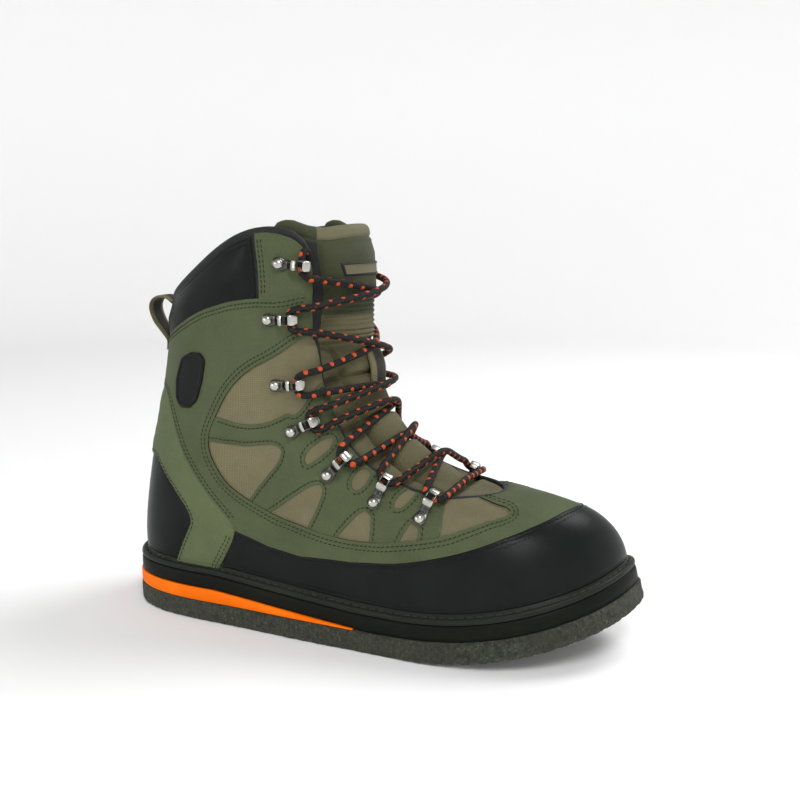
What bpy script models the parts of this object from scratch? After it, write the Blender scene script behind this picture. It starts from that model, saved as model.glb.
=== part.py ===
"""Felt-soled wading boot for the right foot.

Sizes are millimetres; meshes are scaled to metres as they are made. The toe points along +X, the outer
side of the foot lies towards -Y, and the felt stands on z = 0.
"""

import math

import bmesh
import bpy
import numpy as np
from mathutils import Vector
from mathutils.bvhtree import BVHTree

MM = 0.001
GAP = 0.3

# Driving sizes of the last
LENGTH = 315.0
BALL_WIDTH = 108.5
SHAFT_HEIGHT = 230.0
TOE_SPRING = 29.0
TOE_LEAN = 0.55
SPRING_START = 27.0

# The sole is laid out flat, then its front is bent up round a circle
SPRING_ANGLE = 2 * math.atan(TOE_SPRING / (LENGTH / 2 - SPRING_START))
SPRING_RADIUS = (LENGTH / 2 - SPRING_START) / math.sin(SPRING_ANGLE)
FLAT_LENGTH = LENGTH / 2 + SPRING_START + SPRING_RADIUS * SPRING_ANGLE

# Sole stack
FELT = 12.4
FELT_ROUND = 1.5
WEDGE = 7.8
WEDGE_TIP = 0.5
WEDGE_FULL_X = -84.0
WEDGE_TIP_X = 10.0
WEDGE_FADE = 4.0
MIDSOLE = 9.2
MIDSOLE_INSET = 1.0
WELT_INSET = 1.2
WELT_WIDTH = 6.5
WELT_HEIGHT = 4.6
WELT_CHAMFER = 1.2
INSOLE = 4.0

# Upper wall and the pieces laid on it
WALL = 3.0
COLLAR_PAD = 3.5
COLLAR_PAD_DEPTH = 45.0
RAND_GAP = 0.4
RAND = 1.6

# Ribs of the upper from heel to toe: sole edge and topline, with the handles that shape each rib.
# x is percent of FLAT_LENGTH; top_x and pull_x are percent of LENGTH; lateral, medial, top_y, lean and
# pull_y are percent of BALL_WIDTH; top_z, rise and pull_z are percent of SHAFT_HEIGHT.
RIB_COLUMNS = (
    "x",
    "lateral",
    "medial",
    "top_x",
    "top_y",
    "top_z",
    "lean",
    "rise",
    "pull_x",
    "pull_y",
    "pull_z",
)
RIBS = (
    ("heel", 0.0, 0.0, 0.0, 8.4, 0.0, 81.7, 1.6, 17.4, -1.6, 0.0, -26.1),
    ("heel_turn", 3.2, 28.6, 28.6, 10.6, 12.9, 83.9, 1.8, 17.8, -1.3, 2.8, -26.1),
    ("heel_side", 13.3, 42.4, 41.5, 18.3, 26.3, 90.2, 2.0, 18.3, -1.0, 4.6, -26.1),
    ("quarter", 25.4, 44.7, 40.1, 28.4, 33.6, 98.0, 1.8, 18.3, 0.0, 2.8, -27.0),
    ("waist", 33.3, 46.1, 36.9, 36.7, 34.1, 100.0, 1.8, 18.3, 0.6, 3.7, -27.0),
    ("corner", 38.7, 47.0, 35.5, 41.3, 30.4, 97.2, 1.8, 18.3, 0.6, 5.5, -23.9),
    ("shaft_top", 44.4, 47.7, 35.5, 43.2, 25.8, 89.1, 1.8, 17.4, 0.6, 9.2, -19.6),
    ("shaft", 52.4, 48.4, 37.8, 43.7, 24.0, 76.1, 1.4, 16.5, 0.6, 12.0, -16.5),
    ("ankle", 61.0, 49.4, 43.3, 44.4, 22.1, 63.9, 1.4, 15.2, 2.5, 13.8, -13.0),
    ("bend", 69.2, 49.8, 48.4, 49.0, 19.4, 52.6, 1.8, 13.9, 3.8, 14.7, -7.0),
    ("instep", 77.8, 47.0, 49.8, 56.7, 16.6, 44.6, 1.8, 13.5, 5.7, 16.6, -3.5),
    ("ball", 85.7, 39.6, 47.5, 64.0, 12.9, 40.4, 1.8, 13.7, 8.9, 14.7, -0.9),
    ("vamp", 92.7, 26.7, 42.4, 68.4, 7.4, 38.9, 1.8, 14.3, 12.1, 9.2, 0.6),
    ("toe_turn", 97.8, 8.3, 32.3, 70.3, 3.2, 38.3, 1.8, 14.5, 14.0, 3.7, 1.4),
    ("toe", 100.0, -15.7, 15.7, 71.0, 0.0, 38.3, 1.8, 14.5, 14.3, 0.0, 1.4),
)
TOE = len(RIBS) - 1
LOOP = 2 * TOE

# Where the upper stops, as a share of each rib against the place round the boot: the topline, then the
# edge of the throat; the inner side mirrors it
EDGE_PLACE = (0.0, 5.1, 5.5, 5.83, 6.5, 7.4, 8.0, 8.5, 9.0, 10.5, 11.2, 12.0, 13.0, 14.0)
EDGE_HEIGHT = (1.0, 1.0, 0.985, 0.785, 0.835, 0.87, 0.855, 0.775, 0.742, 0.742, 0.80, 0.84, 0.88, 0.895)

# Height of the rand's top edge up the rib, against the place round the boot; the inner side mirrors it
RAND_PLACE = (3.1, 4.2, 5.5, 7.0, 8.4, 9.5, 10.2, 11.0, 11.8, 13.0, 14.0)
RAND_REACH = (29.8, 25.7, 24.4, 28.4, 33.7, 38.0, 40.5, 43.0, 45.0, 47.0, 47.5)
TOE_RAND_ENDS = (3.1, 18.8)
ARCH_RAND_ENDS = (18.84, 24.9)
COUNTER_PLACE = (0.0, 0.7, 1.34, 2.0, 2.3)
COUNTER_REACH = (66.0, 65.0, 61.0, 47.0, 32.0)

# Tongue stations from under the vamp to the top: ridge x and z, half angle of the wings, thickness,
# lift of the ears
TONGUE = (
    (96.0, 80.5, 34.0, 3.0, 0.0),
    (80.0, 83.0, 44.0, 3.5, 0.0),
    (64.0, 88.5, 56.0, 4.5, 0.0),
    (45.0, 99.5, 64.0, 5.5, 0.0),
    (27.0, 111.0, 68.0, 6.0, 0.0),
    (13.0, 127.0, 68.0, 6.0, 0.0),
    (3.0, 147.0, 66.0, 6.5, 0.0),
    (-1.0, 170.0, 60.0, 7.0, 0.0),
    (-1.5, 195.0, 64.0, 7.5, 0.0),
    (-2.5, 212.0, 64.0, 7.5, 1.0),
    (-3.5, 222.0, 64.0, 7.0, 4.0),
    (-6.5, 229.5, 64.0, 5.0, 8.0),
)
TONGUE_DEPTH = 42.0
TONGUE_CLEAR = 2.5
TONGUE_FLUSH = 1.2
TONGUE_CROWN = 1.3
TONGUE_FALL = 8.0
TONGUE_FREE = 205.0
TONGUE_PARTS = 2

# Lace hooks, foot to shaft: place round the boot and height up the rib, at the rivet and at the loop
HOOKS = (
    (9.79, 0.581, 10.09, 0.659),
    (8.65, 0.555, 9.14, 0.656),
    (6.79, 0.487, 7.60, 0.599),
    (5.06, 0.504, 5.89, 0.554),
    (4.27, 0.608, 5.10, 0.621),
    (3.91, 0.766, 4.63, 0.772),
    (4.20, 0.905, 5.03, 0.924),
)
OPEN_HOOKS_FROM = 4
HOOK_LIFT = 0.35

# Hook strip along its own length: distance towards the throat, height, half width, half thickness
HOOK_STRIP = (
    (-10.5, 1.4, 1.2, 1.0),
    (-9.4, 1.9, 2.8, 1.7),
    (-7.8, 2.2, 3.3, 2.0),
    (-5.9, 1.8, 2.6, 1.5),
    (-4.6, 0.9, 2.4, 0.7),
    (-2.6, 1.2, 2.6, 0.7),
    (0.6, 5.6, 2.8, 0.7),
    (2.8, 6.8, 2.9, 0.7),
    (6.2, 6.8, 2.9, 0.7),
    (9.0, 5.2, 2.7, 0.7),
    (9.9, 2.6, 2.3, 0.7),
)
HOOK_FOOT = (10.1, 0.9, 2.2, 0.7)

# Lace
LACE_RADIUS = 2.0
LACE_LIFT = 3.1
LACE_CLEAR = 1.9
LACE_TURN = ((13.5, -6.6), (8.2, -5.5), (5.0, -2.8), (5.0, 2.8), (8.2, 5.5), (13.5, 6.6))
LACE_STEPS = 9
LACE_AXIS = 30.0
LACE_SIGHT = 150.0

# Pull loop: distance behind the collar's rear point and height against it
PULL_LOOP = (
    (1.4, -1.5),
    (6.0, 1.8),
    (12.5, 2.6),
    (18.0, 0.0),
    (20.0, -5.5),
    (16.5, -13.0),
    (10.5, -20.0),
    (6.2, -27.0),
    (6.6, -33.0),
)
PULL_WIDTH = 14.0
PULL_THICK = 1.8

# Drain grommets on the inner arch: place round the boot and distance up the rib
GROMMETS = ((21.6, 13.0), (22.9, 13.0))
GROMMET_OUTER = 5.0
GROMMET_INNER = 2.6
GROMMET_HEIGHT = 1.4

# Mesh density
PLAN_STEPS = 36
UPPER_AROUND = 76
UPPER_ROWS = 10
RAND_ROWS = 4
TONGUE_ACROSS = 20
SHARP_EDGE = math.radians(35)

COLOURS = {
    "felt": (0.11, 0.12, 0.09),
    "orange": (0.93, 0.22, 0.01),
    "black_rubber": (0.012, 0.013, 0.012),
    "canvas": (0.10, 0.115, 0.06),
    "quilt": (0.12, 0.11, 0.06),
    "foam": (0.03, 0.03, 0.03),
    "rand": (0.02, 0.023, 0.021),
    "webbing": (0.03, 0.028, 0.02),
    "steel": (0.55, 0.55, 0.53),
    "cord": (0.02, 0.02, 0.02),
}


def closed_spline(values):
    """A smooth closed curve through the rows of values, as a function of the row number."""
    values = np.asarray(values, float)
    count = len(values)
    eye = np.eye(count)
    bend = np.linalg.solve(
        4 * eye + np.roll(eye, 1, 0) + np.roll(eye, -1, 0),
        6 * (np.roll(values, 1, 0) - 2 * values + np.roll(values, -1, 0)),
    )

    def at(place):
        place = np.asarray(place, float)
        row = np.floor(place).astype(int)
        part = (place - row)[..., None]
        this = row % count
        after = (row + 1) % count
        flat = (1 - part) * values[this] + part * values[after]
        return flat + ((1 - part) ** 3 - (1 - part)) * bend[this] / 6 + (part**3 - part) * bend[after] / 6

    return at


def through(rows, parts):
    """Rows of an open table with this many steps between each pair, along a smooth curve through them."""
    rows = np.asarray(rows, float)
    padded = np.concatenate([[2 * rows[0] - rows[1]], rows, [2 * rows[-1] - rows[-2]]])
    found = []
    for number in range(len(rows) - 1):
        a, b, c, d = padded[number : number + 4]
        for part in range(parts):
            f = part / parts
            curve = (2 * a - 5 * b + 4 * c - d) * f + (3 * b - a - 3 * c + d) * f * f
            found.append(b + (c - a + curve) * f / 2)
    found.append(rows[-1])
    return np.array(found)


def rib_loop():
    """The rib table in millimetres, heel to toe along the outer side and back along the inner side."""
    loop = []
    for number in range(LOOP):
        outer = number <= TOE
        row = dict(zip(RIB_COLUMNS, RIBS[number if outer else LOOP - number][1:]))
        side = -1 if outer else 1
        wide = BALL_WIDTH / 100 * side
        tall = SHAFT_HEIGHT / 100
        loop.append(
            (
                row["x"] / 100 * FLAT_LENGTH - LENGTH / 2,
                row["lateral" if outer else "medial"] * wide,
                (row["top_x"] / 100 - 0.5) * LENGTH,
                row["top_y"] * wide,
                row["top_z"] * tall,
                row["lean"] * BALL_WIDTH / 100,
                row["rise"] * tall,
                row["pull_x"] * LENGTH / 100,
                row["pull_y"] * wide,
                row["pull_z"] * tall,
            )
        )
    return closed_spline(loop)


RIB_AT = rib_loop()


def plan(place, inset=0.0):
    """The sole's edge seen from above, moved inwards by inset."""
    step = 1e-3
    here = RIB_AT(place)[..., :2]
    along = RIB_AT(np.asarray(place) + step)[..., :2] - RIB_AT(np.asarray(place) - step)[..., :2]
    along /= np.linalg.norm(along, axis=-1, keepdims=True)
    outward = np.stack([along[..., 1], -along[..., 0]], -1)
    return here - outward * inset


def spring(x):
    """How far the sole has turned up at a place along the flat sole."""
    return np.clip((x - SPRING_START) / SPRING_RADIUS, 0, None)


def bend(x, y, z):
    """A point of the flat sole carried to its place in the sprung sole."""
    turn = spring(x)
    bent_x = np.where(turn > 0, SPRING_START + (SPRING_RADIUS - z * TOE_LEAN) * np.sin(turn), x)
    bent_z = SPRING_RADIUS * (1 - np.cos(turn)) + z * np.cos(turn)
    return np.stack(np.broadcast_arrays(bent_x, y, bent_z), -1)


def felt_bottom(x):
    return np.zeros_like(x)


def felt_shoulder(x):
    return np.full_like(x, FELT_ROUND)


def felt_top(x):
    return np.full_like(x, FELT)


def wedge_depth(x):
    share = np.clip((WEDGE_TIP_X - x) / (WEDGE_TIP_X - WEDGE_FULL_X), 0, 1)
    return WEDGE_TIP + (WEDGE - WEDGE_TIP) * share


def wedge_low(x):
    return felt_top(x) + GAP


def wedge_top(x):
    return wedge_low(x) + wedge_depth(x)


def midsole_low(x):
    fade = np.clip(1 - (x - WEDGE_TIP_X - GAP) / WEDGE_FADE, 0, 1)
    return felt_top(x) + GAP + (wedge_depth(x) + GAP) * fade


def midsole_top(x):
    fade = np.clip(1 - (x - WEDGE_TIP_X) / (8 * WEDGE_FADE), 0, 1)
    return felt_top(x) + GAP + wedge_depth(x) - WEDGE_TIP * (1 - fade) + MIDSOLE


def board(x):
    """The level the upper and the insole stand on."""
    return midsole_top(x) + GAP


def rib_points(place, height):
    """The upper's outer face at a place round the boot and a share of the way up its rib."""
    place = np.asarray(place, float)
    height = np.asarray(height, float)[..., None]
    row = RIB_AT(place)
    foot = plan(place, WELT_WIDTH)
    edge = plan(place)
    outward = (edge - foot) / WELT_WIDTH
    base = bend(foot[..., 0], foot[..., 1], board(foot[..., 0]))
    turn = spring(foot[..., 0])
    lean = row[..., 5]
    rise = row[..., 6]
    handle = (
        outward[..., 0] * np.cos(turn) * lean - np.sin(turn) * rise * TOE_LEAN,
        outward[..., 1] * lean,
        outward[..., 0] * np.sin(turn) * lean + np.cos(turn) * rise,
    )
    low = base + np.stack(handle, -1)
    top = row[..., 2:5]
    high = top + row[..., 7:10]
    rest = 1 - height
    return rest**3 * base + 3 * rest**2 * height * low + 3 * rest * height**2 * high + height**3 * top


def rib_normals(place, height):
    step = 2e-3
    place = np.asarray(place, float)
    low = np.clip(np.asarray(height) - step, 0, 1)
    high = np.clip(np.asarray(height) + step, 0, 1)
    up = rib_points(place, high) - rib_points(place, low)
    along = rib_points(place + step, height) - rib_points(place - step, height)
    normal = np.cross(along, up)
    return normal / np.linalg.norm(normal, axis=-1, keepdims=True)


def on_upper(place, height, offset):
    place, height, offset = np.broadcast_arrays(place, height, offset)
    return rib_points(place, height) + rib_normals(place, height) * np.asarray(offset)[..., None]


def rib_lengths(place):
    """Heights along one rib and the distance from the feather line to each."""
    heights = np.linspace(0, 1, 121)
    points = rib_points(np.full(121, place), heights)
    steps = np.linalg.norm(np.diff(points, axis=0), axis=1)
    return heights, np.concatenate([[0], np.cumsum(steps)])


def reach(place, distance):
    """How far up the rib lies this distance from the feather line."""
    heights, lengths = rib_lengths(place)
    return float(np.interp(distance, lengths, heights))


def material(name):
    found = bpy.data.materials.get(name)
    if found is None:
        found = bpy.data.materials.new(name)
        found.use_nodes = True
        shader = found.node_tree.nodes["Principled BSDF"]
        shader.inputs["Base Color"].default_value = (*COLOURS[name], 1.0)
        shader.inputs["Roughness"].default_value = 0.35 if name == "steel" else 0.75
        shader.inputs["Metallic"].default_value = 1.0 if name == "steel" else 0.0
    return found


def loft(name, sections, colour, ring=False):
    """A closed solid through sections of equal point count, whose points pair up first with last."""
    sections = np.asarray(sections, float)
    rows, count = sections.shape[:2]
    mesh = bmesh.new()
    known = {}

    def vertex(row, number):
        point = sections[row % rows, number % count]
        key = tuple(np.round(point, 3))
        if key not in known:
            known[key] = mesh.verts.new(Vector(point) * MM)
        return known[key]

    def face(*corners):
        kept = []
        for corner in corners:
            if corner not in kept:
                kept.append(corner)
        if len(kept) > 2:
            mesh.faces.new(kept)

    for row in range(rows if ring else rows - 1):
        for number in range(count):
            face(
                vertex(row, number),
                vertex(row, number + 1),
                vertex(row + 1, number + 1),
                vertex(row + 1, number),
            )
    if not ring:
        for row in (0, rows - 1):
            for number in range(count // 2 - 1):
                face(
                    vertex(row, number),
                    vertex(row, number + 1),
                    vertex(row, count - 2 - number),
                    vertex(row, count - 1 - number),
                )
    bmesh.ops.recalc_face_normals(mesh, faces=mesh.faces)
    data = bpy.data.meshes.new(name)
    mesh.to_mesh(data)
    mesh.free()
    data.shade_smooth()
    data.set_sharp_from_angle(angle=SHARP_EDGE)
    data.materials.append(material(colour))
    made = bpy.data.objects.new(name, data)
    bpy.context.scene.collection.objects.link(made)
    return made


def layer(name, places, rim, colour):
    """A sole layer: rim holds, from the bottom edge up, the inset of each edge and its level along x."""
    sections = []
    for place in places:
        sides = []
        for side in (place, LOOP - place):
            edges = [(plan(side, inset), level) for inset, level in rim]
            sides.append([bend(x, y, level(x)) for (x, y), level in edges])
        sections.append(sides[0] + sides[1][::-1])
    return loft(name, sections, colour)


def insole_top(x):
    return board(x) + INSOLE


def make_sole():
    places = np.linspace(0, TOE, PLAN_STEPS + 1)
    layer(
        "felt_outsole",
        places,
        ((FELT_ROUND, felt_bottom), (0.0, felt_shoulder), (0.0, felt_top)),
        "felt",
    )
    fine = np.linspace(0, TOE, 1401)
    tip = float(np.interp(WEDGE_TIP_X, plan(fine)[:, 0], fine))
    layer("heel_wedge", np.linspace(0, tip, 18), ((0.0, wedge_low), (0.0, wedge_top)), "orange")
    start = float(np.interp(WEDGE_TIP_X + GAP, plan(fine)[:, 0], fine))
    stop = float(np.interp(WEDGE_TIP_X + GAP + WEDGE_FADE, plan(fine)[:, 0], fine))
    places = np.unique(np.concatenate([np.linspace(0, start, 18), np.linspace(stop, TOE, 20)]))
    layer("midsole", places, ((MIDSOLE_INSET, midsole_low), (MIDSOLE_INSET, midsole_top)), "black_rubber")
    inset = WELT_WIDTH + WALL + 2 * GAP
    places = np.linspace(0, TOE, PLAN_STEPS + 1)
    layer("insole", places, ((inset, board), (inset, insole_top)), "foam")


def make_welt():
    rim = ((0.0, 0.0), (0.0, WELT_HEIGHT - WELT_CHAMFER), (WELT_CHAMFER, WELT_HEIGHT))
    sections = []
    for place in np.arange(UPPER_AROUND) * LOOP / UPPER_AROUND:
        section = []
        for inset, height in rim:
            x, y = plan(place, WELT_INSET + inset)
            section.append(bend(x, y, board(x) + height))
        section.append(on_upper(place, reach(place, WELT_HEIGHT), RAND_GAP))
        x, y = plan(place, WELT_WIDTH - RAND_GAP)
        section.append(bend(x, y, board(x)))
        sections.append(section)
    loft("welt", sections, "black_rubber", ring=True)


def smooth_share(value):
    value = np.clip(value, 0, 1)
    return value * value * (3 - 2 * value)


def wall(place, height):
    """Thickness of the upper: plain over the foot, padded round the collar."""
    from_heel = np.minimum(np.mod(place, LOOP), LOOP - np.mod(place, LOOP))
    round_collar = smooth_share(5.0 - from_heel)
    near_top = smooth_share(1 - (1 - height) * 170 / COLLAR_PAD_DEPTH / 1.5)
    return WALL + COLLAR_PAD * round_collar * near_top


def inner_face(place, height):
    if height == 0:
        x, y = plan(place, WELT_WIDTH + WALL)
        return bend(x, y, board(x))
    return on_upper(place, height, -wall(place, height))


def edge_height(place):
    """The share of each rib that the upper covers."""
    return np.interp(TOE - np.abs(TOE - np.mod(place, LOOP)), EDGE_PLACE, EDGE_HEIGHT)


def make_upper():
    sections = []
    for place in np.arange(UPPER_AROUND) * LOOP / UPPER_AROUND:
        heights = edge_height(place) * np.linspace(0, 1, UPPER_ROWS + 1) ** 1.1
        outer = [on_upper(place, height, 0.0) for height in heights]
        inner = [inner_face(place, height) for height in heights]
        sections.append(outer + inner[::-1])
    loft("upper", sections, "canvas", ring=True)


def overlay(name, places, tops, colour):
    """A skin standing on the upper from just above the welt to the given distances up the ribs."""
    sections = []
    for place, distance in zip(places, tops):
        low = reach(place, WELT_HEIGHT + 2 * GAP)
        heights = np.linspace(low, reach(place, distance), RAND_ROWS + 1)
        outer = [on_upper(place, height, RAND_GAP + RAND) for height in heights]
        inner = [on_upper(place, height, RAND_GAP) for height in heights]
        sections.append(outer + inner[::-1])
    return loft(name, sections, colour)


def make_overlays():
    step = LOOP / UPPER_AROUND
    for name, ends in (("toe_rand", TOE_RAND_ENDS), ("arch_rand", ARCH_RAND_ENDS)):
        places = np.linspace(*ends, int((ends[1] - ends[0]) / step) + 2)
        overlay(name, places, np.interp(TOE - abs(TOE - places), RAND_PLACE, RAND_REACH), "rand")
    places = np.linspace(-COUNTER_PLACE[-1], COUNTER_PLACE[-1], 17)
    overlay("heel_counter", places, np.interp(abs(places), COUNTER_PLACE, COUNTER_REACH), "rand")


def surface_tree(offsets, edges):
    """A fine picture of the ribs at the given offset, up to the given edge, for feeling where they lie."""
    around = 4 * UPPER_AROUND
    rows = 3 * UPPER_ROWS
    places = np.arange(around) * LOOP / around
    heights = np.linspace(0, 1, rows + 1)
    grid_p, grid_h = np.meshgrid(places, heights, indexing="ij")
    grid_h = grid_h * edges(grid_p)
    points = on_upper(grid_p, grid_h, offsets(grid_p, grid_h)).reshape(-1, 3)
    faces = []
    for a in range(around):
        b = (a + 1) % around
        for r in range(rows):
            first = a * (rows + 1) + r
            second = b * (rows + 1) + r
            faces.append((first, second, second + 1, first + 1))
    return BVHTree.FromPolygons([Vector(p) for p in points], faces)


def inner_offset(place, height):
    return -wall(place, height)


def outer_offset(place, height):
    return np.zeros_like(place)


def whole_rib(place):
    return np.ones_like(place)


def radius_to(tree, centre, way):
    hit = tree.ray_cast(Vector(centre), Vector(way))
    return np.nan if hit[0] is None else hit[3]


def tongue_section(trees, centre, ways, ridge_radius):
    """Radii of the tongue's outer face: under the upper, flush with it in the throat, crowned in between."""
    lining, last = trees
    under = np.array([radius_to(lining, centre, way) for way in ways]) - TONGUE_CLEAR
    flush = np.array([radius_to(last, centre, way) for way in ways]) - TONGUE_FLUSH
    covered = ~np.isnan(under)
    beside = covered | np.roll(covered, 1) | np.roll(covered, -1)
    deep = flush - WALL - TONGUE_CLEAR
    radii = np.where(covered, under, np.where(beside, deep, flush))
    gap = np.flatnonzero(np.isnan(radii))
    if len(gap) == 0:
        return radii
    left = right = ridge_radius - TONGUE_FALL
    if gap[0] > 0:
        left = radii[gap[0] - 1]
    if gap[-1] < len(ways) - 1:
        right = radii[gap[-1] + 1]
    share = (np.arange(len(gap)) + 1) / (len(gap) + 1)
    crown = max(ridge_radius - (left + right) / 2, 0)
    radii[gap] = left + (right - left) * share + crown * np.sin(np.pi * share) ** TONGUE_CROWN
    return radii


def make_tongue():
    """The tongue, and its outer face for the lace to lie on."""
    trees = (surface_tree(inner_offset, edge_height), surface_tree(outer_offset, whole_rib))
    table = through(TONGUE, TONGUE_PARTS)
    sections = []
    outers = []
    radii = np.full(TONGUE_ACROSS + 1, np.inf)
    for number, (x, z, wing, thick, ear) in enumerate(table):
        before = table[max(number - 1, 0)]
        after = table[min(number + 1, len(table) - 1)]
        along = np.array((after[0] - before[0], 0, after[1] - before[1]))
        along /= np.linalg.norm(along)
        forward = np.array((along[2], 0, -along[0]))
        centre = np.array((x, 0, z)) - forward * TONGUE_DEPTH
        angles = np.radians(np.linspace(-wing, wing, TONGUE_ACROSS + 1))
        ways = np.cos(angles)[:, None] * forward + np.sin(angles)[:, None] * np.array((0.0, 1.0, 0.0))
        found = tongue_section(trees, centre, ways, TONGUE_DEPTH)
        radii = np.minimum(found, radii) if z > TONGUE_FREE else found
        from_ridge = (np.abs(angles) / angles[-1]) ** 2
        thin = thick * (1 - 0.5 * from_ridge)
        raised = np.stack([0 * from_ridge, 0 * from_ridge, ear * from_ridge], -1)
        outer = centre + ways * radii[:, None] + raised
        inner = centre + ways * (radii - thin)[:, None] + raised
        outers.append(outer)
        sections.append(np.concatenate([outer, inner[::-1]]))
    loft("tongue", sections, "quilt")
    points = np.concatenate(outers)
    across = TONGUE_ACROSS + 1
    faces = []
    for row in range(len(outers) - 1):
        for number in range(TONGUE_ACROSS):
            first = row * across + number
            faces.append((first, first + 1, first + 1 + across, first + across))
    return BVHTree.FromPolygons([Vector(p) for p in points], faces)


def hook_frame(number, inner_side):
    """Where a hook stands: its point on the upper, then the ways to the throat, up the boot and out."""
    rivet_place, rivet_height, loop_place, loop_height = HOOKS[number]
    if inner_side:
        rivet_place = LOOP - rivet_place
        loop_place = LOOP - loop_place
    place = (rivet_place + loop_place) / 2
    height = (rivet_height + loop_height) / 2
    point = on_upper(place, height, HOOK_LIFT)
    out = rib_normals(place, height)
    toward = rib_points(loop_place, loop_height) - rib_points(rivet_place, rivet_height)
    toward -= out * toward.dot(out)
    toward /= np.linalg.norm(toward)
    upward = np.cross(toward, out) if inner_side else np.cross(out, toward)
    return point, toward, upward, out


def make_hooks():
    for inner_side in (False, True):
        for number in range(len(HOOKS)):
            point, toward, upward, out = hook_frame(number, inner_side)
            strip = list(HOOK_STRIP)
            if number < OPEN_HOOKS_FROM:
                strip.append(HOOK_FOOT)
            rows = np.array(strip)
            sections = []
            for row, (d, n, half, thick) in enumerate(rows):
                before = rows[max(row - 1, 0)]
                after = rows[min(row + 1, len(rows) - 1)]
                run = np.array((after[0] - before[0], after[1] - before[1]))
                run /= np.linalg.norm(run)
                across = (-run[1] * toward + run[0] * out) * thick
                centre = point + d * toward + n * out
                corners = ((-1, 0), (-0.7, -1), (0.7, -1), (1, 0), (0.7, 1), (-0.7, 1))
                sections.append([centre + upward * half * a + across * b for a, b in corners])
            side = "medial" if inner_side else "lateral"
            loft("hook_%s_%d" % (side, number + 1), sections, "steel")


def lace_span(trees, axis, start, end, heights):
    """Points of the lace between two hooks, held out from an axis by the tongue and the upper."""
    shares = np.linspace(0, 1, len(heights))
    ways = start + (end - start) * shares[:, None] - axis
    radii = np.linalg.norm(ways, axis=1)
    ways /= radii[:, None]
    lifted = radii.copy()
    for number, way in enumerate(ways):
        for tree in trees:
            hit = tree.ray_cast(Vector(axis + way * LACE_SIGHT), Vector(-way))
            if hit[0] is not None:
                square = max(0.4, abs(hit[1].dot(Vector(way))))
                lifted[number] = max(lifted[number], LACE_SIGHT - hit[3] + heights[number] / square)
    beside = np.concatenate([lifted[:1], lifted, lifted[-1:]])
    spread = np.maximum(lifted, (beside[:-2] + beside[2:]) / 2)
    return list(axis + ways * spread[:, None])


def make_lace(tongue_tree):
    trees = (surface_tree(outer_offset, whole_rib), tongue_tree)
    top = len(HOOKS) - 1
    route = [(number, (number % 2 == 1)) for number in range(top, -1, -1)]
    route += [(number, (number % 2 == 0)) for number in range(top + 1)]
    height = LACE_RADIUS + LACE_CLEAR
    points = []
    facing = None
    for step, (number, inner_side) in enumerate(route):
        point, toward, upward, out = hook_frame(number, inner_side)
        turn = [point + toward * d + upward * s + out * LACE_LIFT for d, s in LACE_TURN]
        if step <= top:
            turn = turn[::-1]
        if points:
            start = points.pop()
            middle = (start + turn[0]) / 2
            face = facing + out + toward
            axis = middle - face / np.linalg.norm(face) * LACE_AXIS
            shares = np.linspace(0, 1, LACE_STEPS + 1)
            rise = (2 * LACE_RADIUS + LACE_CLEAR) if step > top + 1 else 0.0
            points += lace_span(trees, axis, start, turn[0], height + rise * np.sin(np.pi * shares))
            turn = turn[1:]
        points += turn
        facing = out + toward
    curve = bpy.data.curves.new("lace", "CURVE")
    curve.dimensions = "3D"
    curve.bevel_depth = LACE_RADIUS * MM
    curve.bevel_resolution = 0
    curve.use_fill_caps = True
    spline = curve.splines.new("POLY")
    spline.points.add(len(points) - 1)
    for control, place in zip(spline.points, points):
        control.co = (*(np.array(place) * MM), 1.0)
    curve.materials.append(material("cord"))
    bpy.context.scene.collection.objects.link(bpy.data.objects.new("lace", curve))


def make_pull_loop():
    rear = on_upper(0.0, 1.0, 0.0)
    rows = np.array([(rear[0] - back, rear[2] + up) for back, up in PULL_LOOP])
    sections = []
    for number, (x, z) in enumerate(rows):
        before = rows[max(number - 1, 0)]
        after = rows[min(number + 1, len(rows) - 1)]
        run = (after - before) / np.linalg.norm(after - before)
        side = np.array((-run[1], run[0])) * PULL_THICK / 2
        half = PULL_WIDTH / 2
        sections.append(
            (
                (x + side[0], -half, z + side[1]),
                (x + side[0], half, z + side[1]),
                (x - side[0], half, z - side[1]),
                (x - side[0], -half, z - side[1]),
            )
        )
    loft("pull_loop", sections, "webbing")


def make_grommets():
    for number, (place, distance) in enumerate(GROMMETS):
        height = reach(place, distance)
        centre = on_upper(place, height, RAND_GAP + RAND + RAND_GAP)
        out = rib_normals(place, height)
        along = np.cross(out, (0.0, 0.0, 1.0))
        along /= np.linalg.norm(along)
        up = np.cross(along, out)
        sections = []
        for angle in np.arange(16) * math.tau / 16:
            way = along * math.cos(angle) + up * math.sin(angle)
            sections.append(
                (
                    centre + way * GROMMET_INNER,
                    centre + way * GROMMET_OUTER,
                    centre + way * (GROMMET_OUTER - 0.8) + out * GROMMET_HEIGHT,
                    centre + way * (GROMMET_INNER + 0.3) + out * GROMMET_HEIGHT,
                )
            )
        loft("drain_grommet_%d" % (number + 1), sections, "steel", ring=True)


for old in list(bpy.data.objects):
    bpy.data.objects.remove(old)
make_sole()
make_welt()
make_upper()
make_overlays()
tongue_face = make_tongue()
make_hooks()
make_lace(tongue_face)
make_pull_loop()
make_grommets()
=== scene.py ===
"""Looks of the felt-soled wading boot for the right foot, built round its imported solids.

Sizes are millimetres until a mesh is made. A place runs round the boot from the heel (0) along the outer
side to the toe (14) and back along the inner side (28). A height is a share of the rib that rises there from
the feather line. An outline point above 100 is a pixel of the photograph, carried on to the upper along the
camera's line of sight; a smaller one is a place and a height.
"""

import math

import bmesh
import bpy
import numpy as np
from mathutils import Matrix, Vector
from mathutils.bvhtree import BVHTree
from mathutils.geometry import delaunay_2d_cdt
from mathutils.kdtree import KDTree


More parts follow.
